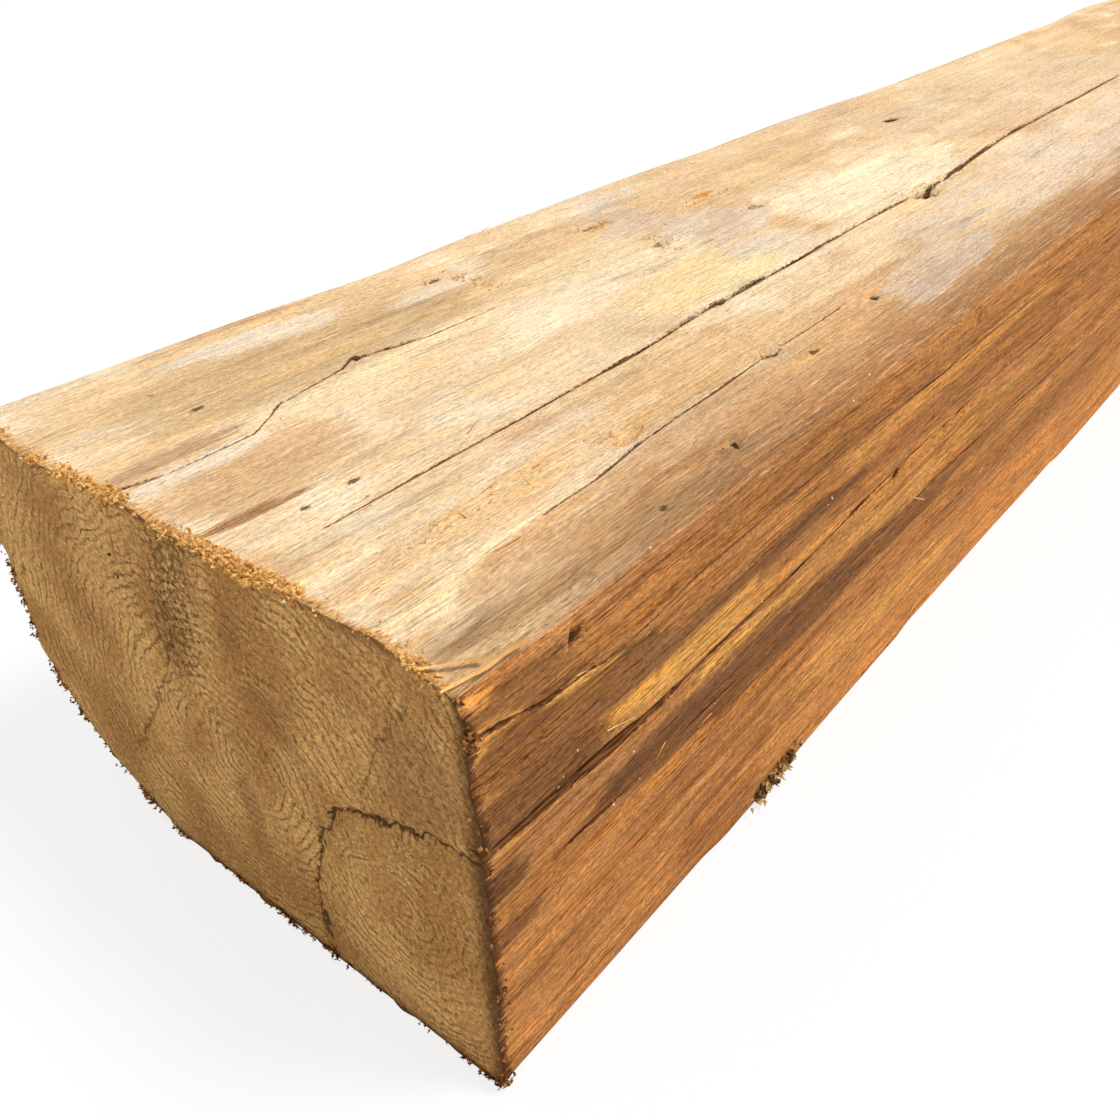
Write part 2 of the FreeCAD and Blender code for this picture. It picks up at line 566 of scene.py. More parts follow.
@dataclass
class TimberSkin:
    """The whole timber as one closed mesh: four hewn faces and two sawn ends.

    Attributes:
        measures: the timber's sizes and place.
        top_lines: lines along the top, and along the underside.
        side_lines: lines along each side.
        name: the finished object's name.
    """

    measures: Measures
    top_lines: int = 92
    side_lines: int = 60
    name: str = "timber"

    def rings(self) -> Array:
        """Return where the rings of the mesh lie along the timber, closest at the near end."""
        length = self.measures.length
        edge = np.array([0.0, 0.7, 1.6, 2.8, 4.2, 6.0, 8.0])
        near = np.arange(10.4, 60.0, 2.6)
        close = np.arange(61.0, 430.0, 3.7)
        middle = np.arange(432.0, 700.0, 6.4)
        away = np.arange(708.0, 1250.0, 14.0)
        far = np.arange(1268.0, length - 30.0, 24.0)
        last = length - np.array([22.0, 12.0, 6.0, 2.5, 1.0, 0.0])
        return np.concatenate([edge, near, close, middle, away, far, last])

    def face_size(self, face: Face) -> float:
        """Return how wide a face is, in mm."""
        across = face in (Face.TOP, Face.UNDER)
        return self.measures.width if across else self.measures.height

    def lines(self, face: Face) -> Array:
        """Return the places of a face's lines across it, packed close beside its checks.

        Args:
            face: the face.

        Returns:
            Places in mm from the weathered side or from the underside, rising.
        """
        size = self.face_size(face)
        count = self.top_lines if face in (Face.TOP, Face.UNDER) else self.side_lines
        offsets = np.array([-2.6, -1.5, -0.8, 0.0, 0.8, 1.5, 2.6])
        rests = [check.rest for check in CHECKS if check.face is face]
        packed = np.concatenate([rest + offsets for rest in rests]) if rests else np.empty(0)
        spare = count + 1 - len(packed)
        edge = np.array([0.0, 2.5, 5.5, 9.0, 13.0])
        open_part = np.linspace(edge[-1], size - edge[-1], 2000)
        if len(packed):
            gap = np.abs(open_part[:, None] - packed[None, :]).min(axis=1)
            open_part = open_part[gap > 0.9]
        even = open_part[np.linspace(0, len(open_part) - 1, spare - 2 * len(edge) + 2).astype(int)]
        return np.sort(np.concatenate([edge[:-1], size - edge[:-1], even, packed]))

    def wandered(self, face: Face, rest: Array, along: Array) -> Array:
        """Move a face's lines so that they follow its checks.

        Args:
            face: the face.
            rest: the lines' places, in mm.
            along: the rings' places, in mm.

        Returns:
            Places by ring and line.
        """
        checks = sorted((check for check in CHECKS if check.face is face), key=lambda check: check.rest)
        size = self.face_size(face)
        held = [0.0] + [check.rest for check in checks] + [size]
        places = np.empty((len(along), len(rest)))
        for ring, station in enumerate(along):
            moved = [0.0] + [float(check.middle(np.array([station]))[0]) for check in checks] + [size]
            places[ring] = np.interp(rest, held, moved)
        return places

    def corners_at(self, along: Array) -> tuple[Array, dict[str, Array]]:
        """Return the section's four sharp corners and the waney corner's reach at each ring.

        Args:
            along: the rings' places, in mm.

        Returns:
            Corners by ring, in the order of the faces' starts, as (across, up), and the reaches.
        """
        width, height = self.measures.width, self.measures.height
        places = np.stack([along, np.zeros_like(along), np.zeros_like(along)], axis=-1)
        top = height + 1.0 * noise(places, (260, 1, 1), 3) + 0.5 * noise(places, (90, 1, 1), 4)
        near = 0.9 * noise(places, (240, 1, 1), 5)
        far = width - 1.0 + 4.0 * noise(places, (170, 1, 1), 8) + 1.6 * noise(places, (60, 1, 1), 7)
        grown = 12.0 * np.sin(2 * math.pi * along / 1500.0 + 0.7)
        corners = np.stack(
            [
                np.stack([near, top], axis=-1),
                np.stack([far, top], axis=-1),
                np.stack([far, np.zeros_like(top)], axis=-1),
                np.stack([near, np.zeros_like(top)], axis=-1),
            ],
            axis=1,
        )
        return corners, {"across": 62.0 + grown, "up": 48.0 + grown}

    def section_grid(self, along: Array) -> tuple[Array, Array, Array]:
        """Lay out the skin before its relief.

        Args:
            along: the rings' places, in mm.

        Returns:
            Places by ring and line in mm, each line's face number, and its place across that face.
        """
        corners, wane = self.corners_at(along)
        ones = np.ones(len(along))
        reach_before = (4.0 * ones, 7.0 * ones, wane["up"], 4.0 * ones)
        reach_after = (4.0 * ones, 7.0 * ones, wane["across"], 4.0 * ones)
        worn = 15.0 + 3.0 * np.sin(along / 90.0)
        reach_before = (worn, *reach_before[1:])
        reach_after = (worn, *reach_after[1:])
        fullness = (0.85, 0.9, 0.42, 0.9)
        blocks, numbers, spots = [], [], []
        for face in Face:
            rest = self.lines(face)
            size = self.face_size(face)
            place = self.wandered(face, rest, along)
            runs_down = face in (Face.UNDER, Face.WANEY)
            if runs_down:
                place = place[:, ::-1]
                portion = 1.0 - place / size
            else:
                portion = place / size
            block = self.rounded_side(face.value, portion, corners, reach_before, reach_after, fullness)
            blocks.append(block[:, :-1])
            numbers.append(np.full(block.shape[1] - 1, face.value))
            spots.append(place[:, :-1])
        flat = np.concatenate(blocks, axis=1)
        x = np.broadcast_to(along[:, None, None], (*flat.shape[:2], 1))
        return np.concatenate([x, flat], axis=-1), np.concatenate(numbers), np.concatenate(spots, axis=1)

    def rounded_side(
        self,
        index: int,
        portion: Array,
        corners: Array,
        reach_before: Sequence[Array],
        reach_after: Sequence[Array],
        fullness: Sequence[float],
    ) -> Array:
        """Return one side of the section with its two worn corners.

        Args:
            index: the side's number.
            portion: how far each line lies along the side, 0 to 1, by ring.
            corners: the section's sharp corners by ring.
            reach_before: each corner's reach along the side before it.
            reach_after: each corner's reach along the side after it.
            fullness: each corner's fullness.

        Returns:
            (across, up) by ring and line.
        """
        following = (index + 1) % 4
        start, end = corners[:, index], corners[:, following]
        run = end - start
        length = np.linalg.norm(run, axis=-1)
        points = start[:, None] + run[:, None] * portion[..., None]
        for corner, from_corner in ((index, portion), (following, 1.0 - portion)):
            sharp = corners[:, corner]
            behind = corners[:, (corner - 1) % 4] - sharp
            ahead = corners[:, (corner + 1) % 4] - sharp
            backward = behind / np.linalg.norm(behind, axis=-1)[:, None]
            first = sharp + backward * reach_before[corner][:, None]
            last = sharp + ahead / np.linalg.norm(ahead, axis=-1)[:, None] * reach_after[corner][:, None]
            own = reach_after[corner] if corner == index else reach_before[corner]
            pull = (first + last) / 2 + (sharp - (first + last) / 2) * fullness[corner]
            travelled = from_corner * length[:, None] / own[:, None]
            turn = 0.5 + 0.5 * travelled if corner == index else 0.5 - 0.5 * travelled
            t = np.clip(turn, 0.0, 1.0)[..., None]
            curve = (1 - t) ** 2 * first[:, None] + 2 * t * (1 - t) * pull[:, None] + t**2 * last[:, None]
            points = np.where((travelled < 1.0)[..., None], curve, points)
        return points

    def outward(self, grid: Array) -> Array:
        """Return the outward direction at each place of the skin."""
        along = np.gradient(grid, axis=0)
        around = np.roll(grid, -1, axis=1) - np.roll(grid, 1, axis=1)
        normal = np.cross(along, around)
        return normal / np.maximum(np.linalg.norm(normal, axis=-1, keepdims=True), 1e-9)

    def hewn_relief(self, grid: Array, number: Array) -> Array:
        """Return the height of the tool-worn and weathered grain, in mm.

        Args:
            grid: places by ring and line.
            number: each line's face number.

        Returns:
            Heights by ring and line.
        """
        broad = 0.8 * crumpled(grid, (150, 42, 42), 11)
        ridges = 0.42 * noise(grid, (230, 6.5, 6.5), 12) + 0.3 * noise(grid, (90, 4.2, 4.2), 13)
        torn = noise(grid, (190, 9, 9), 14)
        ledges = 0.9 * smooth(0.05, 0.2, torn) - 0.8 * smooth(0.28, 0.4, noise(grid, (130, 7, 7), 15))
        side = (number == Face.WEATHERED.value) | (number == Face.WANEY.value)
        strength = np.where(side, 1.0, 0.42)[None, :]
        under = np.where(number == Face.UNDER.value, 0.25, 1.0)[None, :]
        return (broad * 0.8 + ridges + ledges * strength) * under

    def check_relief(self, grid: Array, number: Array, spots: Array) -> tuple[Array, Array, Array]:
        """Cut the drying checks.

        Args:
            grid: places by ring and line.
            number: each line's face number.
            spots: each place across its face, in mm.

        Returns:
            Heights in mm, how near each place is to a check's middle line as 1 less the distance over
            CHECK_REACH, and half of the check's width there over CHECK_REACH; the last two place the
            painted shade inside the checks.
        """
        along = grid[..., 0]
        height, near, width = (np.zeros(along.shape) for _ in range(3))
        for check in CHECKS:
            opened = check.openness(along)
            jag = 1.0 + 0.3 * noise(grid, (11, 400, 400), 21)
            half = np.maximum(check.half * opened * jag, 0.05)
            off = np.abs(spots - check.middle(along))
            own = (number == check.face.value)[None, :]
            cut = np.clip(1.0 - off / np.minimum(half, 1.5), 0.0, 1.0) ** 0.6 * own
            height -= cut * check.depth * opened**2
            close = np.clip(1.0 - off / CHECK_REACH, 0.0, 1.0) * own
            shown = np.where(opened > 0.02, half + 0.16, -0.6) / CHECK_REACH
            width = np.where(close > near, shown, width)
            near = np.maximum(near, close)
        return height, near, width

    def pit_relief(self, grid: Array, number: Array, spots: Array) -> tuple[Array, Array]:
        """Sink the holes and torn chips, and raise the bumps.

        Args:
            grid: places by ring and line.
            number: each line's face number.
            spots: each place across its face, in mm.

        Returns:
            Heights in mm, and how much darker each place is coloured, 0 to 1.
        """
        height, pit_darkness = np.zeros(grid.shape[:2]), np.zeros(grid.shape[:2])
        ragged = 1.0 + 0.4 * noise(grid, (3.2, 2.6, 2.6), 33)
        for pit in PITS:
            off_along = (grid[..., 0] - pit.along) / (pit.reach + 1.2)
            off_across = (spots - pit.place) / (pit.half + 0.8)
            off = off_along**2 + off_across**2
            near = smooth(1.0, 0.25, off * ragged) * (number == pit.face.value)[None, :]
            height -= pit.depth * near
            pit_darkness = np.maximum(pit_darkness, pit.pit_darkness * near)
        return height, pit_darkness

    def base_tint(self, grid: Array, number: Array, spots: Array) -> Array:
        """Return the wood's own colour bands before anything is laid over them.

        Args:
            grid: places by ring and line.
            number: each line's face number.
            spots: each place across its face, in mm.

        Returns:
            Linear colours by ring and line.
        """
        band = crumpled(grid, (420, 16, 16), 41)
        fine = noise(grid, (260, 5, 5), 42)
        patch = crumpled(grid, (150, 46, 46), 43)
        pale = [to_linear(*c) for c in ((218, 178, 132), (244, 212, 168), (255, 236, 204))]
        dark = [to_linear(*c) for c in ((140, 94, 54), (182, 126, 72), (212, 152, 86))]
        top = self.graded(pale, 0.5 + 0.42 * patch + 0.3 * band + 0.12 * fine)
        side = self.graded(dark, 0.5 + 0.5 * band + 0.25 * fine + 0.15 * patch)
        mottle = crumpled(grid, (34, 17, 17), 44, 4)
        stained = smooth(0.12, 0.5, mottle)[..., None] * 0.55
        top = top * (1 - stained) + np.array(to_linear(214, 166, 116)) * stained
        chalky = smooth(-0.12, -0.5, mottle)[..., None] * 0.6
        top = top * (1 - chalky) + np.array(to_linear(255, 240, 212)) * chalky
        uneven = spots + 16.0 * crumpled(grid, (90, 14, 14), 45)
        beside = smooth(48.0, 8.0, uneven) * smooth(10.0, 110.0, grid[..., 0])
        beside = (beside * smooth(1500.0, 500.0, grid[..., 0]))[..., None] * 0.92
        worn_tone = self.graded([to_linear(162, 112, 68), to_linear(206, 160, 112)], spots / 30.0)
        top = top * (1 - beside) + worn_tone * beside
        lower = smooth(70.0, 30.0, grid[..., 2])[..., None] * 0.4
        side = side * (1 - lower) + np.array(to_linear(222, 156, 92)) * lower
        is_side = (number != Face.TOP.value)[None, :, None]
        worn = smooth(self.measures.height - 11.0, self.measures.height - 1.5, grid[..., 2])[..., None]
        weathered = (number == Face.WEATHERED.value)[None, :, None]
        over_arris = np.where(weathered, np.array(to_linear(196, 140, 90)), top)
        return np.where(is_side, side * (1 - worn) + over_arris * worn, top)

    @staticmethod
    def graded(stops: Sequence[Colour], portion: Array) -> Array:
        """Return the colour at each portion, 0 to 1, of a run of evenly spaced colours."""
        ticks = np.linspace(0.0, 1.0, len(stops))
        table = np.array(stops)
        clipped = np.clip(portion, 0.0, 1.0)
        return np.stack([np.interp(clipped, ticks, table[:, part]) for part in range(3)], axis=-1)

    def paint(self, tint: Array, grid: Array, number: Array, spots: Array) -> Array:
        """Work out the strokes that lie over the wood's own colours.

        Args:
            tint: linear colours by ring and line.
            grid: places by ring and line.
            number: each line's face number.
            spots: each place across its face, in mm.

        Returns:
            The strokes' colour at each place, and how much of it shows, 0 to 1, as a fourth part.
        """
        along = grid[..., 0]
        over, cover = tint.copy(), np.zeros(along.shape)
        for index, stroke in enumerate(STROKES):
            portion = np.clip((along - stroke.start) / (stroke.end - stroke.start), 0.0, 1.0)
            sway = stroke.ragged * noise(grid, (55, 12, 12), 60 + index)
            off = np.abs(spots - stroke.place - stroke.drift * portion + 0.5 * sway)
            swell = 0.4 + 0.6 * np.sin(math.pi * np.clip(portion, 0.08, 0.92)) ** 0.5
            part = smooth(2.1, 0.1, off / (max(stroke.half, 1.5) * swell))
            fade = min(34.0, 0.35 * (stroke.end - stroke.start))
            part *= smooth(stroke.start - 0.3 * fade, stroke.start + fade, along + sway * 2)
            part *= smooth(stroke.end + 0.3 * fade, stroke.end - fade, along + sway * 2)
            part *= (number == stroke.face.value)[None, :]
            share = np.where(cover > part, smooth(0.3, 0.6, part), smooth(0.0, 0.2, part))[..., None]
            wood = tint * (1 - stroke.strength) + np.array(to_linear(*stroke.colour)) * stroke.strength
            over = over * (1 - share) + wood * share
            cover = np.maximum(cover, part)
        return np.concatenate([over, cover[..., None]], axis=-1)

    def fringe(self, grid: Array, number: Array) -> tuple[Array, Array]:
        """Tear the fibres at the sawn edges.

        Args:
            grid: places by ring and line.
            number: each line's face number.

        Returns:
            Heights in mm, and how far each place is pulled out past the sawn end, in mm.
        """
        length = self.measures.length
        to_end = np.minimum(grid[..., 0], length - grid[..., 0])
        edge = smooth(5.0, 0.0, to_end)
        burr = crumpled(grid, (50, 6, 6), 71)
        height = edge * (1.5 * burr + 0.2)
        torn = smooth(0.1, 0.7, noise(grid, (90, 11, 11), 72))
        pulled = edge * (1.6 * np.maximum(burr, 0.0) + 1.6 * torn * (number == Face.TOP.value)[None, :])
        under = (number == Face.UNDER.value)[None, :]
        return np.where(under, np.minimum(height, 0.0) * 0.5, height), pulled

    def end_relief(self, points: Array) -> Array:
        """Return how far the sawn end stands out at each place, in mm.

        Args:
            points: (across, up) in mm.

        Returns:
            Heights, negative where the end is torn or cracked.
        """
        solid = np.concatenate([np.zeros((*points.shape[:-1], 1)), points], axis=-1)
        rough = 0.35 * crumpled(solid, (1, 9, 9), 81) + 0.2 * noise(solid, (1, 4, 4), 82)
        depth = np.zeros(points.shape[:-1])
        for crack in END_CRACKS:
            for start, end in zip(crack.route, crack.route[1:]):
                gap = crack_distance(points, np.array(start), np.array(end))
                depth = np.maximum(depth, crack.depth * smooth(crack.half + 1.6, 0.0, gap))
        return rough - depth

    def end_cap(self, grid: Array, ring: int, first_new: int, outward: float) -> tuple[Array, Array]:
        """Close one end of the skin.

        Args:
            grid: the finished skin by ring and line, in mm.
            ring: the ring that the cap is joined to.
            first_new: the number that the cap's first own vertex gets.
            outward: which way along X the end faces.

        Returns:
            The cap's own vertices in mm, and vertex numbers by row and column.
        """
        lines, rows = self.top_lines, self.side_lines
        around = grid[ring]
        count = len(around)
        offset = ring * count if ring == 0 else (len(grid) - 1) * count
        upper = np.arange(lines + 1)
        right = lines + np.arange(rows + 1)
        lower = 2 * lines + rows - np.arange(lines + 1)
        left = (2 * lines + 2 * rows - np.arange(rows + 1)) % count
        across = np.linspace(0, 1, lines + 1)[None, :, None]
        down = np.linspace(0, 1, rows + 1)[:, None, None]
        ruled = (1 - down) * around[upper][None] + down * around[lower][None]
        ruled = ruled + (1 - across) * around[left][:, None] + across * around[right][:, None]
        ends = around[[upper[0], upper[-1], lower[0], lower[-1]]]
        corners = (1 - down) * (1 - across) * ends[0] + (1 - down) * across * ends[1]
        corners = corners + down * (1 - across) * ends[2] + down * across * ends[3]
        patch = ruled - corners
        inner = patch[1:-1, 1:-1]
        relief = self.end_relief(inner[..., 1:])
        base = 0.0 if outward < 0 else self.measures.length
        edge = np.minimum(np.minimum(down, 1 - down), np.minimum(across, 1 - across))[1:-1, 1:-1, 0]
        inner[..., 0] = base + outward * np.minimum(relief, 0.6) * smooth(0.0, 0.03, edge)
        numbers = np.empty((rows + 1, lines + 1), int)
        numbers[0], numbers[-1] = upper + offset, lower % count + offset
        numbers[:, 0], numbers[:, -1] = left + offset, right % count + offset
        numbers[1:-1, 1:-1] = first_new + np.arange((rows - 1) * (lines - 1)).reshape(rows - 1, lines - 1)
        return inner.reshape(-1, 3), numbers

    def build(self, finishes: Sequence[bpy.types.Material]) -> bpy.types.Object:
        """Make the timber.

        Args:
            finishes: the finish of the faces, then of the sawn ends.

        Returns:
            The finished object.
        """
        along = self.rings()
        grid, number, spots = self.section_grid(along)
        normal = self.outward(grid)
        cut, near_check, half_check = self.check_relief(grid, number, spots)
        sunk, pit_darkness = self.pit_relief(grid, number, spots)
        burr, pulled = self.fringe(grid, number)
        tint = self.base_tint(grid, number, spots)
        layer = self.paint(tint, grid, number, spots)
        relief = self.hewn_relief(grid, number) + cut + sunk + burr
        skin = grid + normal * relief[..., None]
        skin[..., 0] += np.where(grid[..., 0] < self.measures.length / 2, -pulled, pulled)
        skin[..., 2] = np.maximum(skin[..., 2], 0.0)
        rings, count = skin.shape[:2]
        near, near_numbers = self.end_cap(skin, 0, rings * count, -1.0)
        far, far_numbers = self.end_cap(skin, -1, rings * count + len(near), 1.0)
        vertices = np.concatenate([skin.reshape(-1, 3), near, far])
        ring_numbers = np.arange(rings * count).reshape(rings, count)
        ahead = np.roll(ring_numbers, -1, axis=1)
        long_quads = np.stack([ring_numbers[:-1], ring_numbers[1:], ahead[1:], ahead[:-1]], axis=-1)
        long_quads = long_quads.reshape(-1, 4)
        near_quads = self.cap_quads(near_numbers)
        far_quads = self.cap_quads(far_numbers)[:, ::-1]
        quads = np.concatenate([long_quads, near_quads, far_quads])
        mesh = bpy.data.meshes.new(self.name)
        mesh.from_pydata(self.measures.in_row(vertices).tolist(), [], quads.tolist())
        for finish in finishes:
            mesh.materials.append(finish)
        slots = np.zeros(len(quads), np.int32)
        slots[len(long_quads) :] = 1
        mesh.polygons.foreach_set("material_index", slots)
        mesh.polygons.foreach_set("use_smooth", np.ones(len(quads), bool))
        # marks: nearness to a check and the check's width, which place the painted shade inside the checks;
        # how much darker each pit is coloured; and pale dust.
        marks = np.stack([near_check, pit_darkness, self.dust(grid, number, spots), half_check], axis=-1)
        self.store(mesh, "tint", tint, quads, len(long_quads))
        self.store(mesh, "layer", layer, quads, len(long_quads))
        self.store(mesh, "marks", marks, quads, len(long_quads))
        self.unwrap(mesh, along, number, rings, count, near_numbers, far_numbers)
        mesh.validate()
        mesh.update()
        made = bpy.data.objects.new(self.name, mesh)
        bpy.context.collection.objects.link(made)
        LOG.info("%s: %d faces", self.name, len(mesh.polygons))
        return made

    def dust(self, grid: Array, number: Array, spots: Array) -> Array:
        """Return how much pale dust lies at each place, 0 to 1."""
        along = grid[..., 0]
        top = (number == Face.TOP.value)[None, :]
        patchy = 0.5 + 0.5 * crumpled(grid, (34, 14, 14), 91)
        corner = smooth(24.0, 6.0, spots) * smooth(190.0, 30.0, along) * top
        loose = smooth(0.45, 0.9, crumpled(grid, (60, 22, 22), 92)) * 0.5
        return np.clip(corner * (0.45 + 0.6 * patchy) + loose * top, 0.0, 1.0)

    @staticmethod
    def cap_quads(numbers: Array) -> Array:
        """Return the cap's faces, turned to face -X."""
        upper, lower = numbers[:-1], numbers[1:]
        quads = np.stack([upper[:, :-1], upper[:, 1:], lower[:, 1:], lower[:, :-1]], axis=-1)
        return quads.reshape(-1, 4)

    @staticmethod
    def store(mesh: bpy.types.Mesh, name: str, values: Array, quads: Array, long_count: int) -> None:
        """Store a value on each face corner of the long faces, so that the sawn ends stay clear of it.

        Args:
            mesh: the mesh.
            name: the attribute's name.
            values: three or four numbers for each vertex of the long faces.
            quads: the faces.
            long_count: how many of the faces are on the long sides.
        """
        layer = mesh.attributes.new(name, "FLOAT_COLOR", "CORNER")
        parts = values.shape[-1]
        corners = np.zeros((len(quads) * 4, 4))
        corners[: long_count * 4, :parts] = values.reshape(-1, parts)[quads[:long_count].reshape(-1)]
        layer.data.foreach_set("color", corners.astype(np.float32).ravel())

    def unwrap(
        self,
        mesh: bpy.types.Mesh,
        along: Array,
        number: Array,
        rings: int,
        count: int,
        near: Array,
        far: Array,
    ) -> None:
        """Lay the skin out flat in two stretches, with the sawn ends beside them.

        Args:
            mesh: the mesh.
            along: the rings' places, in mm.
            number: each line's face number.
            rings: how many rings there are.
            count: how many lines there are round the timber.
            near: the near cap's vertex numbers by row and column.
            far: the far cap's.
        """
        width, height = self.measures.width, self.measures.height
        girth = 2 * (width + height)
        half = int(np.searchsorted(along, self.measures.length / 2))
        stretch = self.measures.length / 2 + 30.0
        sheet = max(stretch + width + 30.0, 2 * girth + 30.0)
        sizes = np.where((number == Face.TOP.value) | (number == Face.UNDER.value), width, height)
        per_line = np.where(sizes == width, width / self.top_lines, height / self.side_lines)
        around = np.concatenate([[0.0], np.cumsum(per_line)])
        ring_index = np.repeat(np.arange(rings - 1), count)
        line_index = np.tile(np.arange(count), rings - 1)
        second = ring_index >= half
        shift_x = np.where(second, along[half], 0.0)
        shift_y = np.where(second, girth + 15.0, 0.0)
        corners = []
        for ring_step, line_step in ((0, 0), (1, 0), (1, 1), (0, 1)):
            x = along[ring_index + ring_step] - shift_x + 5.0
            y = around[line_index + line_step] + shift_y + 5.0
            corners.append(np.stack([x, y], axis=-1))
        long_part = np.stack(corners, axis=1).reshape(-1, 2)
        parts = [long_part]
        for index, (cap, flip) in enumerate(((near, False), (far, True))):
            rows, columns = cap.shape
            x, y = np.meshgrid(np.linspace(0, width, columns), np.linspace(height, 0, rows))
            spots = np.stack([x + stretch + 10.0, y + 10.0 + index * (height + 20.0)], axis=-1)
            quads = self.cap_quads(np.arange(rows * columns).reshape(rows, columns))
            quads = quads[:, ::-1] if flip else quads
            parts.append(spots.reshape(-1, 2)[quads.reshape(-1)])
        layer = mesh.uv_layers.new(name="OFBake")
        layer.data.foreach_set("uv", (np.concatenate(parts) / sheet).astype(np.float32).ravel())


# ---------------------------------------------------------------- what shows on the sawn ends


@dataclass(frozen=True)
class Crack:
    """A crack across a sawn end.

    Attributes:
        route: its corners as (across, up), in mm.
        half: half of its width, in mm.
        depth: its depth, in mm.
        dark: how dark the painted shade in it is, 0 to 1.
    """

    route: tuple[tuple[float, float], ...]
    half: float
    depth: float
    dark: float


END_CRACKS = (
    Crack(((66, 61), (58, 76), (42, 84), (22, 91), (0, 95)), 0.9, 2.0, 0.85),
    Crack(((66, 61), (70, 48), (76, 34), (75, 16), (73, -2)), 0.8, 1.6, 0.8),
    Crack(((66, 61), (80, 70), (88, 84)), 0.6, 0.8, 0.35),
    Crack(((122, 108), (131, 94), (146, 70), (158, 54), (171, 36)), 0.8, 0.8, 0.45),
    Crack(((43, 92), (34, 112), (20, 134)), 0.5, 0.5, 0.4),
)


def crack_distance(points: Array, start: Array, end: Array) -> Array:
    """Return how far each place is from a straight stretch of crack, in mm."""
    run = end - start
    portion = np.clip(((points - start) @ run) / (run @ run), 0.0, 1.0)
    return np.linalg.norm(points - start - portion[..., None] * run, axis=-1)


# ---------------------------------------------------------------- finishes


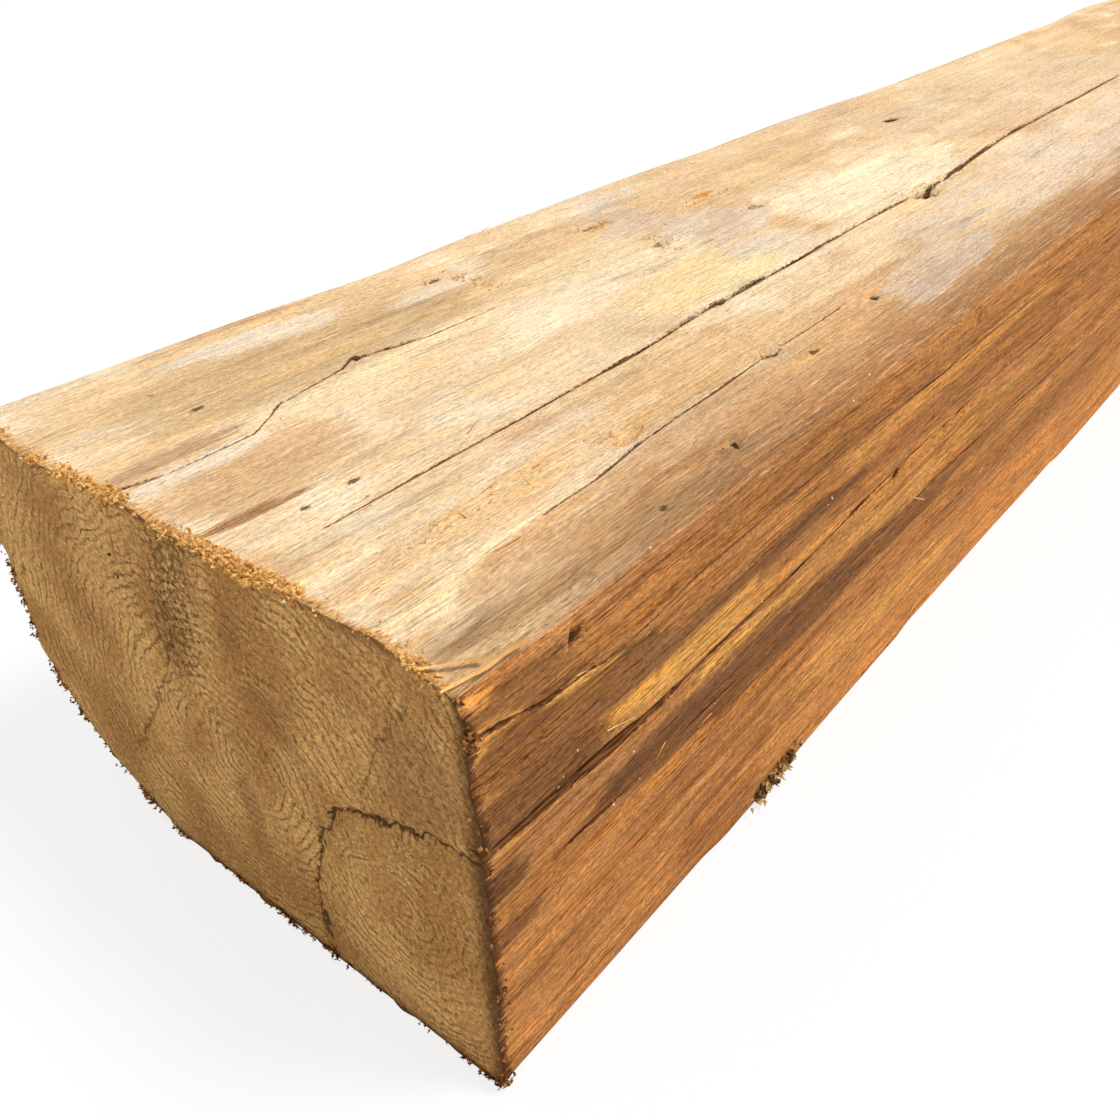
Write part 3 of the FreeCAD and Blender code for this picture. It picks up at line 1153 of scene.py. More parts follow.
class Graph:
    """A small helper that wires up a material's nodes."""

    def __init__(self, name: str) -> None:
        """Start a material with one principled shader.

        Args:
            name: the material's name.
        """
        self.material = bpy.data.materials.new(name)
        self.material.use_nodes = True
        self.tree = self.material.node_tree
        self.shader = self.tree.nodes["Principled BSDF"]

    def node(self, kind: str, **settings: object) -> bpy.types.Node:
        """Add a node and set its properties."""
        made = self.tree.nodes.new(kind)
        for name, value in settings.items():
            setattr(made, name, value)
        return made

    def feed(self, socket: Socket, value: object) -> None:
        """Link a socket to the value, or set it where the value is plain."""
        if isinstance(value, bpy.types.NodeSocket):
            self.tree.links.new(value, socket)
        elif isinstance(value, tuple) and socket.type == "RGBA":
            socket.default_value = (*value[:3], 1.0)
        else:
            socket.default_value = value

    def math(self, operation: str, first: Value, second: Value = 0.0, third: Value = 0.0) -> Socket:
        """Return the result of a sum on single numbers."""
        made = self.node("ShaderNodeMath", operation=operation)
        for socket, value in zip(made.inputs, (first, second, third)):
            self.feed(socket, value)
        return made.outputs[0]

    def times(self, first: Value, second: Value) -> Socket:
        """Return one number times another."""
        return self.math("MULTIPLY", first, second)

    def scaled(self, value: Value, by: Value, rise: Value) -> Socket:
        """Return a number times another, and a third added."""
        return self.math("MULTIPLY_ADD", value, by, rise)

    def plus(self, first: Value, second: Value) -> Socket:
        """Return the sum of two numbers."""
        return self.math("ADD", first, second)

    def less(self, first: Value, second: Value) -> Socket:
        """Return one number less another."""
        return self.math("SUBTRACT", first, second)

    def vector(
        self, operation: str, first: object, second: object = (0.0, 0.0, 0.0), scale: Value = 1.0
    ) -> Socket:
        """Return the result of a sum on vectors, as a number for a length or a product."""
        made = self.node("ShaderNodeVectorMath", operation=operation)
        self.feed(made.inputs[0], first)
        if operation == "SCALE":
            self.feed(made.inputs["Scale"], scale)
        elif operation != "LENGTH":
            self.feed(made.inputs[1], second)
        single = operation in ("LENGTH", "DOT_PRODUCT", "DISTANCE")
        return made.outputs["Value" if single else "Vector"]

    def noise(
        self, place: Socket, detail: float = 4.0, roughness: float = 0.6, distortion: float = 0.0
    ) -> Socket:
        """Return cloud noise, about 0 to 1, at a place."""
        made = self.node("ShaderNodeTexNoise", noise_dimensions="3D")
        self.feed(made.inputs["Vector"], place)
        self.feed(made.inputs["Scale"], 1.0)
        self.feed(made.inputs["Detail"], detail)
        self.feed(made.inputs["Roughness"], roughness)
        self.feed(made.inputs["Distortion"], distortion)
        return made.outputs["Fac"]

    def step(self, value: Value, low: float, high: float) -> Socket:
        """Return 0 below low and 1 above high, smoothly; low may be the larger."""
        made = self.node("ShaderNodeMapRange", interpolation_type="SMOOTHSTEP")
        rising = low < high
        self.feed(made.inputs["Value"], value)
        self.feed(made.inputs["From Min"], min(low, high))
        self.feed(made.inputs["From Max"], max(low, high))
        self.feed(made.inputs["To Min"], 0.0 if rising else 1.0)
        self.feed(made.inputs["To Max"], 1.0 if rising else 0.0)
        return made.outputs[0]

    def mix(self, portion: Value, first: object, second: object, blend: str = "MIX") -> Socket:
        """Return two colours mixed."""
        made = self.node("ShaderNodeMix", data_type="RGBA", blend_type=blend)
        self.feed(made.inputs[0], portion)
        self.feed(made.inputs[6], first)
        self.feed(made.inputs[7], second)
        return made.outputs[2]

    def place(self) -> Socket:
        """Return the place on the object in mm."""
        coordinates = self.node("ShaderNodeTexCoord")
        return self.vector("SCALE", coordinates.outputs["Object"], scale=1.0 / MM)

    def attribute(self, name: str) -> bpy.types.Node:
        """Return the node that reads a stored value."""
        return self.node("ShaderNodeAttribute", attribute_name=name)

    def parts(self, colour: Socket) -> tuple[Socket, Socket, Socket]:
        """Return a colour's or vector's three parts."""
        made = self.node("ShaderNodeSeparateXYZ")
        self.feed(made.inputs[0], colour)
        return made.outputs[0], made.outputs[1], made.outputs[2]

    def finish(
        self, colour: object, roughness: Value, height: Optional[Socket], lift: float
    ) -> bpy.types.Material:
        """Wire the result to the shader.

        Args:
            colour: the base colour.
            roughness: the roughness.
            height: the bump's height, or None.
            lift: what a height of 1 stands for, in mm.

        Returns:
            The material.
        """
        self.feed(self.shader.inputs["Base Color"], colour)
        self.feed(self.shader.inputs["Roughness"], roughness)
        self.shader.inputs["Specular IOR Level"].default_value = 0.12
        if height is not None:
            bump = self.node("ShaderNodeBump")
            self.feed(bump.inputs["Height"], height)
            self.feed(bump.inputs["Distance"], lift * MM)
            self.feed(bump.inputs["Strength"], 1.0)
            self.feed(self.shader.inputs["Normal"], bump.outputs[0])
        return self.material


@dataclass(frozen=True)
class FaceFinish:
    """Bare weathered wood along the grain.

    Attributes:
        measures: the timber's sizes and place.
        name: the material's name.
        contrast: how strongly the grain shows, about 1.
        lift: the height of the fine grain, in mm.
        roughness: how dull the wood is.
    """

    measures: Measures
    name: str = "weathered_grain"
    contrast: float = 1.0
    lift: float = 1.1
    roughness: float = 0.86

    def make(self) -> bpy.types.Material:
        """Return the material."""
        graph = Graph(self.name)
        place = graph.place()
        wander = graph.noise(graph.vector("MULTIPLY", place, (0.008, 0.02, 0.02)), 2.0)
        lean = graph.vector("SCALE", (0.0, 5.0, 5.0), scale=graph.less(wander, 0.5))
        grain = graph.vector("ADD", place, lean)
        band = graph.noise(graph.vector("MULTIPLY", grain, (0.006, 0.18, 0.18)), 4.0, 0.6)
        line = graph.noise(graph.vector("MULTIPLY", grain, (0.010, 0.5, 0.5)), 3.0, 0.55)
        streak = graph.noise(graph.vector("MULTIPLY", grain, (0.028, 1.4, 1.4)), 4.0, 0.65)
        fibre = graph.noise(graph.vector("MULTIPLY", grain, (0.14, 3.4, 3.4)), 3.0, 0.65)
        grit = graph.noise(graph.vector("MULTIPLY", grain, (0.5, 1.0, 1.0)), 4.0, 0.72)
        blotch = graph.noise(graph.vector("MULTIPLY", place, (0.02, 0.045, 0.045)), 4.0, 0.6)
        marks = graph.attribute("marks")
        close, pit_darkness, dust = graph.parts(marks.outputs["Color"])
        normal = graph.node("ShaderNodeNewGeometry").outputs["Normal"]
        side = graph.step(graph.parts(normal)[2], 0.85, 0.35)
        tint = self.layered(graph, streak, line)
        colour = self.grained(graph, tint, (band, line, streak, fibre, blotch), side)
        colour = self.gritty(graph, colour, grit, fibre, side)
        colour = self.dusted(graph, colour, dust, grit, fibre)
        pores = graph.times(graph.step(grit, 0.64, 0.70), 0.8)
        colour = graph.mix(pores, colour, graph.mix(1.0, colour, (0.30, 0.21, 0.15), "MULTIPLY"))
        colour = self.torn_edge(graph, colour, side, streak, grit)
        # Painted shade inside the checks: each check's mouth is filled with dark brown over the inner
        # wood's reddish brown, standing in for the shade of a crack deeper than the mesh cuts.
        check_shade_tone = graph.mix(graph.step(streak, 0.4, 0.6), to_linear(64, 36, 20), to_linear(150, 94, 54))
        beyond = graph.less(graph.less(1.0, close), marks.outputs["Alpha"])
        jagged = graph.scaled(graph.less(grit, 0.5), 0.4, beyond)
        inside = graph.step(jagged, 0.07, -0.04)
        colour = graph.mix(graph.times(inside, 0.95), colour, check_shade_tone)
        knots = graph.times(self.knots(graph, grit), graph.less(1.0, side))
        colour = graph.mix(knots, colour, to_linear(96, 58, 32))
        # Darker inside the pits, and on one bump, by as much as each pit lists.
        ragged = graph.scaled(graph.less(grit, 0.5), 0.9, pit_darkness)
        colour = graph.mix(graph.times(graph.step(ragged, 0.38, 0.56), 0.9), colour, to_linear(56, 34, 20))
        height = graph.scaled(streak, 0.8, graph.times(fibre, 0.4))
        height = graph.scaled(line, 1.1, height)
        height = graph.scaled(grit, 0.7, height)
        height = graph.less(height, graph.times(pores, 0.5))
        return graph.finish(colour, self.roughness, height, self.lift)

    def knots(self, graph: Graph, grit: Socket) -> Socket:
        """Return how dark the small knots and scars of the top are at each place, 0 to 1."""
        corner = self.measures.spot(0.0, 0.0, 0.0) / MM
        local = graph.vector("SUBTRACT", graph.place(), tuple(corner))
        total: Value = 0.0
        for along, across, reach in KNOTS:
            moved = graph.vector("SUBTRACT", local, (along, across, 0.0))
            near = graph.vector("LENGTH", graph.vector("MULTIPLY", moved, (0.5 / reach, 1.0 / reach, 0.0)))
            ragged = graph.scaled(graph.less(grit, 0.5), 2.4, near)
            total = graph.math("MAXIMUM", total, graph.step(ragged, 1.1, 0.6))
        return graph.times(total, 0.85)

    def layered(self, graph: Graph, streak: Socket, line: Socket) -> Socket:
        """Return the wood's colour with the stored strokes over it, their edges torn along the grain.

        Args:
            graph: the material's nodes.
            streak: noise about 1 mm wide.
            line: noise about 2 mm wide.

        Returns:
            The colour.
        """
        layer = graph.attribute("layer")
        edge = graph.scaled(graph.less(streak, 0.5), 1.4, layer.outputs["Alpha"])
        edge = graph.scaled(graph.less(line, 0.5), 1.3, edge)
        tint = graph.attribute("tint").outputs["Color"]
        return graph.mix(graph.step(edge, 0.36, 0.6), tint, layer.outputs["Color"])

    def grained(self, graph: Graph, tint: Socket, grain: Sequence[Socket], side: Socket) -> Socket:
        """Return the tint with the grain's light and dark streaks.

        Args:
            graph: the material's nodes.
            tint: the colour without them.
            grain: noise about 6 mm, 2 mm, 1 mm and 0.3 mm wide, and in broad patches.
            side: 1 on the sides and 0 on the top.

        Returns:
            The colour.
        """
        band, line, streak, fibre, blotch = grain
        deep = graph.mix(1.0, tint, (0.38, 0.26, 0.17), "MULTIPLY")
        bright = graph.mix(1.0, tint, (1.55, 1.3, 0.9), "MULTIPLY")
        pale = graph.mix(side, graph.mix(0.6, tint, (1.0, 0.86, 0.6)), bright)
        richer = graph.mix(side, (1.1, 1.03, 0.86), (1.3, 1.14, 0.76))
        gold = graph.mix(1.0, tint, richer, "MULTIPLY")
        quiet = graph.scaled(graph.step(blotch, 0.5, 0.38), 0.34 * self.contrast, 0.3 * self.contrast)
        strength = graph.scaled(side, graph.less(0.94 * self.contrast, quiet), quiet)
        colour = graph.mix(graph.times(graph.step(band, 0.52, 0.62), 0.7), tint, gold)
        dark_band = graph.times(graph.step(band, 0.45, 0.34), strength)
        colour = graph.mix(graph.times(dark_band, 0.5), colour, deep)
        dark_streak = graph.times(graph.step(streak, 0.45, 0.35), strength)
        colour = graph.mix(graph.times(dark_streak, 0.9), colour, deep)
        patchy = graph.step(graph.scaled(side, 0.07, blotch), 0.43, 0.54)
        for field, width in ((line, 0.021), (streak, 0.013)):
            off = graph.math("ABSOLUTE", graph.less(field, 0.5))
            seam = graph.times(graph.step(off, width, 0.2 * width), patchy)
            colour = graph.mix(graph.times(seam, strength), colour, deep)
        colour = graph.mix(graph.times(graph.step(streak, 0.54, 0.66), 0.6), colour, pale)
        shade = graph.scaled(graph.step(fibre, 0.32, 0.66), 0.42, 0.84)
        shade = graph.times(shade, graph.scaled(blotch, 0.6, 0.72))
        return graph.vector("SCALE", colour, scale=shade)

    def gritty(self, graph: Graph, colour: Socket, grit: Socket, fibre: Socket, side: Socket) -> Socket:
        """Return the colour with the small light and dark grains of a rough surface."""
        grains = graph.plus(graph.step(grit, 0.32, 0.66), graph.times(fibre, 0.4))
        depth = graph.scaled(side, 0.2, 0.42)
        shade = graph.scaled(graph.less(grains, 0.66), depth, 1.03)
        return graph.vector("SCALE", colour, scale=shade)

    def dusted(self, graph: Graph, colour: Socket, dust: Socket, grit: Socket, fibre: Socket) -> Socket:
        """Return the colour with old dust lying in the grain."""
        ash = graph.mix(graph.step(fibre, 0.3, 0.7), to_linear(108, 76, 46), to_linear(194, 152, 104))
        cover = graph.times(dust, graph.step(grit, 0.34, 0.56))
        return graph.mix(graph.times(cover, 0.88), colour, ash)

    def torn_edge(self, graph: Graph, colour: Socket, side: Socket, streak: Socket, grit: Socket) -> Socket:
        """Return the colour with raw torn fibre along both sawn edges."""
        along = graph.less(graph.parts(graph.place())[0], self.measures.corner.x / MM)
        beyond = graph.less(self.measures.length, along)
        ragged = graph.times(graph.less(streak, 0.5), 12.0)
        to_end = graph.plus(graph.math("MINIMUM", along, beyond), ragged)
        orange = graph.mix(graph.step(grit, 0.4, 0.6), to_linear(186, 122, 62), to_linear(244, 188, 114))
        raw = graph.mix(side, orange, to_linear(82, 48, 24))
        return graph.mix(graph.times(graph.step(to_end, 3.4, 0.6), 0.9), colour, raw)


@dataclass(frozen=True)
class EndFinish:
    """The sawn end grain: rings, cracks, stains and torn pores.

    Attributes:
        name: the material's name.
        measures: the timber's sizes and place.
        ring: the spacing of the growth rings, in mm.
        hearts: the rings' two centres, as (across, up) in mm.
        roughness: how dull the wood is.
    """

    measures: Measures
    name: str = "sawn_end_grain"
    ring: float = 3.4
    hearts: tuple[tuple[float, float], tuple[float, float]] = ((34.0, 54.0), (102.0, 70.0))
    roughness: float = 0.92

    def make(self) -> bpy.types.Material:
        """Return the material."""
        graph = Graph(self.name)
        place = graph.place()
        low = self.measures.corner
        corner = (low.x / MM, low.y / MM + self.measures.side_gap, low.z / MM)
        local = graph.vector("SUBTRACT", place, corner)
        flat = graph.vector("MULTIPLY", local, (0.0, 1.0, 1.0))
        wobble = graph.node("ShaderNodeTexNoise", noise_dimensions="3D")
        graph.feed(wobble.inputs["Vector"], flat)
        graph.feed(wobble.inputs["Scale"], 0.05)
        graph.feed(wobble.inputs["Detail"], 3.0)
        shift = graph.vector("SUBTRACT", wobble.outputs["Color"], (0.5, 0.5, 0.5))
        bent = graph.vector("ADD", flat, graph.vector("MULTIPLY", shift, (0.0, 16.0, 16.0)))
        rings = self.rings(graph, bent)
        grit = graph.noise(graph.vector("SCALE", flat, scale=0.75), 5.0, 0.75)
        fuzz = graph.noise(graph.vector("MULTIPLY", bent, (0.0, 0.5, 1.6)), 4.0, 0.7)
        pores = graph.noise(graph.vector("SCALE", flat, scale=0.45), 4.0, 0.75)
        blotch = graph.noise(graph.vector("SCALE", flat, scale=0.03), 4.0, 0.6)
        portion = graph.step(blotch, 0.35, 0.65)
        colour = graph.mix(portion, to_linear(188, 138, 78), to_linear(228, 180, 112))
        broken = graph.times(rings, graph.scaled(graph.step(grit, 0.62, 0.42), 0.55, 0.32))
        colour = graph.mix(broken, colour, to_linear(132, 88, 46))
        colour = self.stained(graph, colour, bent)
        grains = graph.scaled(graph.step(grit, 0.36, 0.62), 0.62, 0.72)
        grains = graph.times(grains, graph.scaled(graph.step(fuzz, 0.36, 0.62), 0.3, 0.88))
        grains = graph.times(grains, graph.scaled(graph.step(pores, 0.36, 0.62), -0.2, 1.1))
        colour = graph.vector("SCALE", colour, scale=grains)
        band = self.torn_band(graph, flat)
        torn = graph.scaled(band, 0.1, pores)
        holes = graph.times(graph.step(torn, 0.58, 0.66), graph.scaled(band, 0.26, 0.36))
        colour = graph.mix(holes, colour, to_linear(84, 54, 26))
        cracks = self.cracks(graph, flat)
        # Painted shade in the cracks, deeper than the end's coarse mesh can show.
        colour = graph.mix(cracks, colour, to_linear(58, 36, 16))
        rim = self.rim(graph, flat, pores)
        colour = graph.mix(rim, colour, to_linear(92, 56, 24))
        height = graph.scaled(rings, -0.3, graph.times(grit, 1.5))
        height = graph.scaled(fuzz, 0.5, height)
        height = graph.less(height, graph.times(holes, 0.9))
        height = graph.less(height, graph.times(cracks, 1.2))
        return graph.finish(colour, self.roughness, height, 0.9)

    def lobe(self, graph: Graph, flat: Socket) -> Socket:
        """Return 1 in the lower lobe beside the weathered face, which has rings of its own."""
        _, across, up = graph.parts(flat)
        under = graph.step(graph.scaled(across, 0.52, up), 97.0, 91.0)
        beside = graph.step(graph.scaled(up, 0.15, across), 78.0, 72.0)
        return graph.times(under, beside)

    def rings(self, graph: Graph, bent: Socket) -> Socket:
        """Return the dark latewood lines, 0 to 1."""
        own, main = self.hearts
        near = graph.vector("DISTANCE", bent, (0.0, own[0], own[1]))
        from_heart = graph.vector("SUBTRACT", bent, (0.0, main[0], main[1]))
        wide = graph.vector("MULTIPLY", from_heart, (1.0, 0.86, 1.0))
        far = graph.vector("LENGTH", wide)
        lobe = self.lobe(graph, bent)
        reach = graph.scaled(lobe, graph.less(near, far), far)
        wave = graph.math("SINE", graph.times(reach, 2 * math.pi / self.ring))
        fine = graph.math("SINE", graph.times(reach, 5.1 * math.pi / self.ring))
        total = graph.scaled(fine, 0.35, wave)
        fading = graph.noise(graph.vector("SCALE", bent, scale=0.06), 3.0, 0.6)
        return graph.times(graph.step(total, 0.1, 1.1), graph.step(fading, 0.34, 0.58))

    def stained(self, graph: Graph, colour: Socket, bent: Socket) -> Socket:
        """Return the colour with the brown heart stains."""
        for across, up, reach, rise in HEART_STAINS:
            moved = graph.vector("SUBTRACT", bent, (0.0, float(across), float(up)))
            near = graph.vector("LENGTH", graph.vector("MULTIPLY", moved, (0.0, 1.0 / reach, 1.0 / rise)))
            cover = graph.times(graph.step(near, 1.2, 0.4), 0.6)
            colour = graph.mix(cover, colour, to_linear(160, 110, 64))
        return colour

    def torn_band(self, graph: Graph, flat: Socket) -> Socket:
        """Return 1 in the band where the saw tore the grain out."""
        near = self.stretch_distance(graph, flat, (108.0, 152.0), (122.0, 104.0))
        return graph.step(near, 17.0, 5.0)

    def stretch_distance(
        self, graph: Graph, flat: Socket, start: tuple[float, float], end: tuple[float, float]
    ) -> Socket:
        """Return the distance to a straight stretch, in mm.

        Args:
            graph: the material's nodes.
            flat: the place on the end.
            start: the stretch's start as (across, up), in mm.
            end: its end.

        Returns:
            The distance.
        """
        run = Vector((0.0, end[0] - start[0], end[1] - start[1]))
        moved = graph.vector("SUBTRACT", flat, (0.0, start[0], start[1]))
        along = graph.vector("DOT_PRODUCT", moved, tuple(run / run.length_squared))
        held = graph.node("ShaderNodeClamp")
        graph.feed(held.inputs[0], along)
        foot = graph.vector("SCALE", tuple(run), scale=held.outputs[0])
        return graph.vector("LENGTH", graph.vector("SUBTRACT", moved, foot))

    def cracks(self, graph: Graph, flat: Socket) -> Socket:
        """Return the painted shade of the cracks at each place, 0 to 1: a dark fill standing in for depth
        the mesh is too coarse to show.
        """
        jag = graph.node("ShaderNodeTexNoise", noise_dimensions="3D")
        graph.feed(jag.inputs["Vector"], flat)
        graph.feed(jag.inputs["Scale"], 0.22)
        graph.feed(jag.inputs["Detail"], 4.0)
        shift = graph.vector("SUBTRACT", jag.outputs["Color"], (0.5, 0.5, 0.5))
        torn = graph.vector("ADD", flat, graph.vector("MULTIPLY", shift, (0.0, 9.0, 9.0)))
        gap = graph.scaled(graph.noise(graph.vector("SCALE", flat, scale=0.12), 3.0), 2.0, -0.45)
        total: Value = 0.0
        for crack in END_CRACKS:
            nearest: Value = 1000.0
            for start, end in zip(crack.route, crack.route[1:]):
                nearest = graph.math("MINIMUM", nearest, self.stretch_distance(graph, torn, start, end))
            held = graph.math("DIVIDE", nearest, graph.math("MAXIMUM", gap, 0.12))
            dark = graph.times(graph.step(held, 1.8 * crack.half + 0.6, 0.4 * crack.half), crack.dark)
            total = graph.math("MAXIMUM", total, dark)
        return total

    def rim(self, graph: Graph, flat: Socket, pores: Socket) -> Socket:
        """Return how dark the dirty torn rim is, 0 to 1."""
        _, across, up = graph.parts(flat)
        ragged = graph.scaled(pores, 14.0, -6.0)
        weathered = graph.step(graph.plus(across, ragged), 7.0, 1.0)
        lower = graph.step(graph.plus(up, ragged), 5.0, 0.5)
        upper = graph.step(
            graph.plus(graph.less(self.measures.height, up), ragged), 4.5, 0.5
        )
        both = graph.math("MAXIMUM", lower, graph.times(upper, 0.6))
        return graph.times(graph.math("MAXIMUM", weathered, both), 0.85)


@dataclass(frozen=True)
class FibreFinish:
    """Torn fibres and slivers, each with its own shade.

    Attributes:
        name: the material's name.
        dark: the darkest shade, as screen values.
        light: the lightest.
    """

    name: str
    dark: tuple[int, int, int]
    light: tuple[int, int, int]

    def make(self) -> bpy.types.Material:
        """Return the material."""
        graph = Graph(self.name)
        shade = graph.attribute("shade").outputs["Fac"]
        grain = graph.noise(graph.vector("MULTIPLY", graph.place(), (0.4, 1.6, 1.6)), 3.0)
        blend = graph.scaled(grain, 0.6, graph.less(shade, 0.3))
        colour = graph.mix(graph.step(blend, 0.0, 1.0), to_linear(*self.dark), to_linear(*self.light))
        return graph.finish(colour, 0.9, None, 0.0)


# ---------------------------------------------------------------- loose and lifted wood


class Shape(Enum):
    """What a scatter is made of."""

    FIBRE = "fibre"
    CRUMB = "crumb"


@dataclass
class Scatter:
    """Many small things on the skin, made by Geometry Nodes.

    Attributes:
        name: the finished object's name.
        shape: what each thing is.
        thickness: each thing's radius, in metres.
        length: each thing's length, in metres.
        bend: how far a fibre's tip is bent aside, in metres.
        seed: the fixed seed.
    """

    name: str
    shape: Shape
    thickness: float
    length: float
    bend: float
    seed: int

    def unit(self, tree: bpy.types.NodeTree, source: bpy.types.Node) -> Socket:
        """Return the single thing that is repeated.

        Args:
            tree: the node group.
            source: the group's input node.

        Returns:
            Its geometry.
        """
        links = tree.links
        if self.shape is Shape.CRUMB:
            ball = tree.nodes.new("GeometryNodeMeshIcoSphere")
            ball.inputs["Subdivisions"].default_value = 1
            links.new(source.outputs["Thickness"], ball.inputs["Radius"])
            return ball.outputs["Mesh"]
        cone = tree.nodes.new("GeometryNodeMeshCone")
        cone.inputs["Vertices"].default_value = 4
        cone.inputs["Side Segments"].default_value = 3
        cone.inputs["Radius Top"].default_value = 0.00004
        links.new(source.outputs["Thickness"], cone.inputs["Radius Bottom"])
        links.new(source.outputs["Length"], cone.inputs["Depth"])
        place = tree.nodes.new("GeometryNodeInputPosition")
        split = tree.nodes.new("ShaderNodeSeparateXYZ")
        links.new(place.outputs[0], split.inputs[0])
        height = tree.nodes.new("ShaderNodeMath")
        height.operation = "DIVIDE"
        links.new(split.outputs["Z"], height.inputs[0])
        links.new(source.outputs["Length"], height.inputs[1])
        squared = tree.nodes.new("ShaderNodeMath")
        squared.operation = "POWER"
        links.new(height.outputs[0], squared.inputs[0])
        squared.inputs[1].default_value = 2.0
        aside = tree.nodes.new("ShaderNodeMath")
        aside.operation = "MULTIPLY"
        links.new(squared.outputs[0], aside.inputs[0])
        links.new(source.outputs["Bend"], aside.inputs[1])
        offset = tree.nodes.new("ShaderNodeCombineXYZ")
        links.new(aside.outputs[0], offset.inputs["X"])
        bent = tree.nodes.new("GeometryNodeSetPosition")
        links.new(cone.outputs["Mesh"], bent.inputs["Geometry"])
        links.new(offset.outputs[0], bent.inputs["Offset"])
        return bent.outputs["Geometry"]

    def group(self, finish: bpy.types.Material) -> bpy.types.NodeTree:
        """Return the node group that scatters the thing over the points it is given.

        Args:
            finish: the things' finish.

        Returns:
            The group.
        """
        tree = bpy.data.node_groups.new(f"{self.name}_scatter", "GeometryNodeTree")
        for label, kind in (("Points", "NodeSocketGeometry"), ("Thickness", "NodeSocketFloat")):
            tree.interface.new_socket(label, in_out="INPUT", socket_type=kind)
        for label in ("Length", "Bend"):
            tree.interface.new_socket(label, in_out="INPUT", socket_type="NodeSocketFloat")
        tree.interface.new_socket("Seed", in_out="INPUT", socket_type="NodeSocketInt")
        tree.interface.new_socket("Wood", in_out="OUTPUT", socket_type="NodeSocketGeometry")
        source = tree.nodes.new("NodeGroupInput")
        sink = tree.nodes.new("NodeGroupOutput")
        links = tree.links
        aim = self.named(tree, "aim", "FLOAT_VECTOR")
        size = self.named(tree, "size", "FLOAT")
        turned = tree.nodes.new("FunctionNodeAlignRotationToVector")
        turned.axis = "Z"
        links.new(aim, turned.inputs["Vector"])
        roll = self.chance(tree, source, 0.0, 2 * math.pi, 1)
        spin = tree.nodes.new("FunctionNodeAxisAngleToRotation")
        spin.inputs["Axis"].default_value = (0.0, 0.0, 1.0)
        links.new(roll, spin.inputs["Angle"])
        both = tree.nodes.new("FunctionNodeRotateRotation")
        both.rotation_space = "LOCAL"
        links.new(turned.outputs["Rotation"], both.inputs["Rotation"])
        links.new(spin.outputs["Rotation"], both.inputs["Rotate By"])
        girth = self.chance(tree, source, 0.5, 1.3, 2)
        reach = tree.nodes.new("ShaderNodeMath")
        reach.operation = "MULTIPLY"
        links.new(self.chance(tree, source, 0.35, 1.3, 3), reach.inputs[0])
        links.new(size, reach.inputs[1])
        scale = tree.nodes.new("ShaderNodeCombineXYZ")
        links.new(girth, scale.inputs["X"])
        links.new(girth, scale.inputs["Y"])
        links.new(reach.outputs[0], scale.inputs["Z"])
        placed = tree.nodes.new("GeometryNodeInstanceOnPoints")
        links.new(source.outputs["Points"], placed.inputs["Points"])
        links.new(self.unit(tree, source), placed.inputs["Instance"])
        links.new(both.outputs["Rotation"], placed.inputs["Rotation"])
        links.new(scale.outputs[0], placed.inputs["Scale"])
        shaded = tree.nodes.new("GeometryNodeStoreNamedAttribute")
        shaded.data_type = "FLOAT"
        shaded.domain = "INSTANCE"
        shaded.inputs["Name"].default_value = "shade"
        links.new(placed.outputs["Instances"], shaded.inputs["Geometry"])
        links.new(self.chance(tree, source, 0.0, 1.0, 4), shaded.inputs["Value"])
        real = tree.nodes.new("GeometryNodeRealizeInstances")
        links.new(shaded.outputs["Geometry"], real.inputs["Geometry"])
        coloured = tree.nodes.new("GeometryNodeSetMaterial")
        coloured.inputs["Material"].default_value = finish
        links.new(real.outputs["Geometry"], coloured.inputs["Geometry"])
        links.new(coloured.outputs["Geometry"], sink.inputs["Wood"])
        return tree

    @staticmethod
    def named(tree: bpy.types.NodeTree, name: str, kind: str) -> Socket:
        """Return a stored attribute of the points."""
        made = tree.nodes.new("GeometryNodeInputNamedAttribute")
        made.data_type = kind
        made.inputs["Name"].default_value = name
        return made.outputs["Attribute"]

    @staticmethod
    def chance(
        tree: bpy.types.NodeTree, source: bpy.types.Node, low: float, high: float, offset: int
    ) -> Socket:
        """Return a repeatable random number for each point.

        Args:
            tree: the node group.
            source: the group's input node, which has the seed.
            low: the lowest number.
            high: the highest.
            offset: what sets this number apart from the others.

        Returns:
            The number.
        """
        made = tree.nodes.new("FunctionNodeRandomValue")
        made.data_type = "FLOAT"
        floats = [socket for socket in made.inputs if socket.type == "VALUE"]
        floats[0].default_value = low
        floats[1].default_value = high
        seed = tree.nodes.new("ShaderNodeMath")
        seed.operation = "ADD"
        seed.inputs[1].default_value = 101.0 * offset
        tree.links.new(source.outputs["Seed"], seed.inputs[0])
        tree.links.new(seed.outputs[0], made.inputs["Seed"])
        return next(socket for socket in made.outputs if socket.type == "VALUE" and socket.enabled)

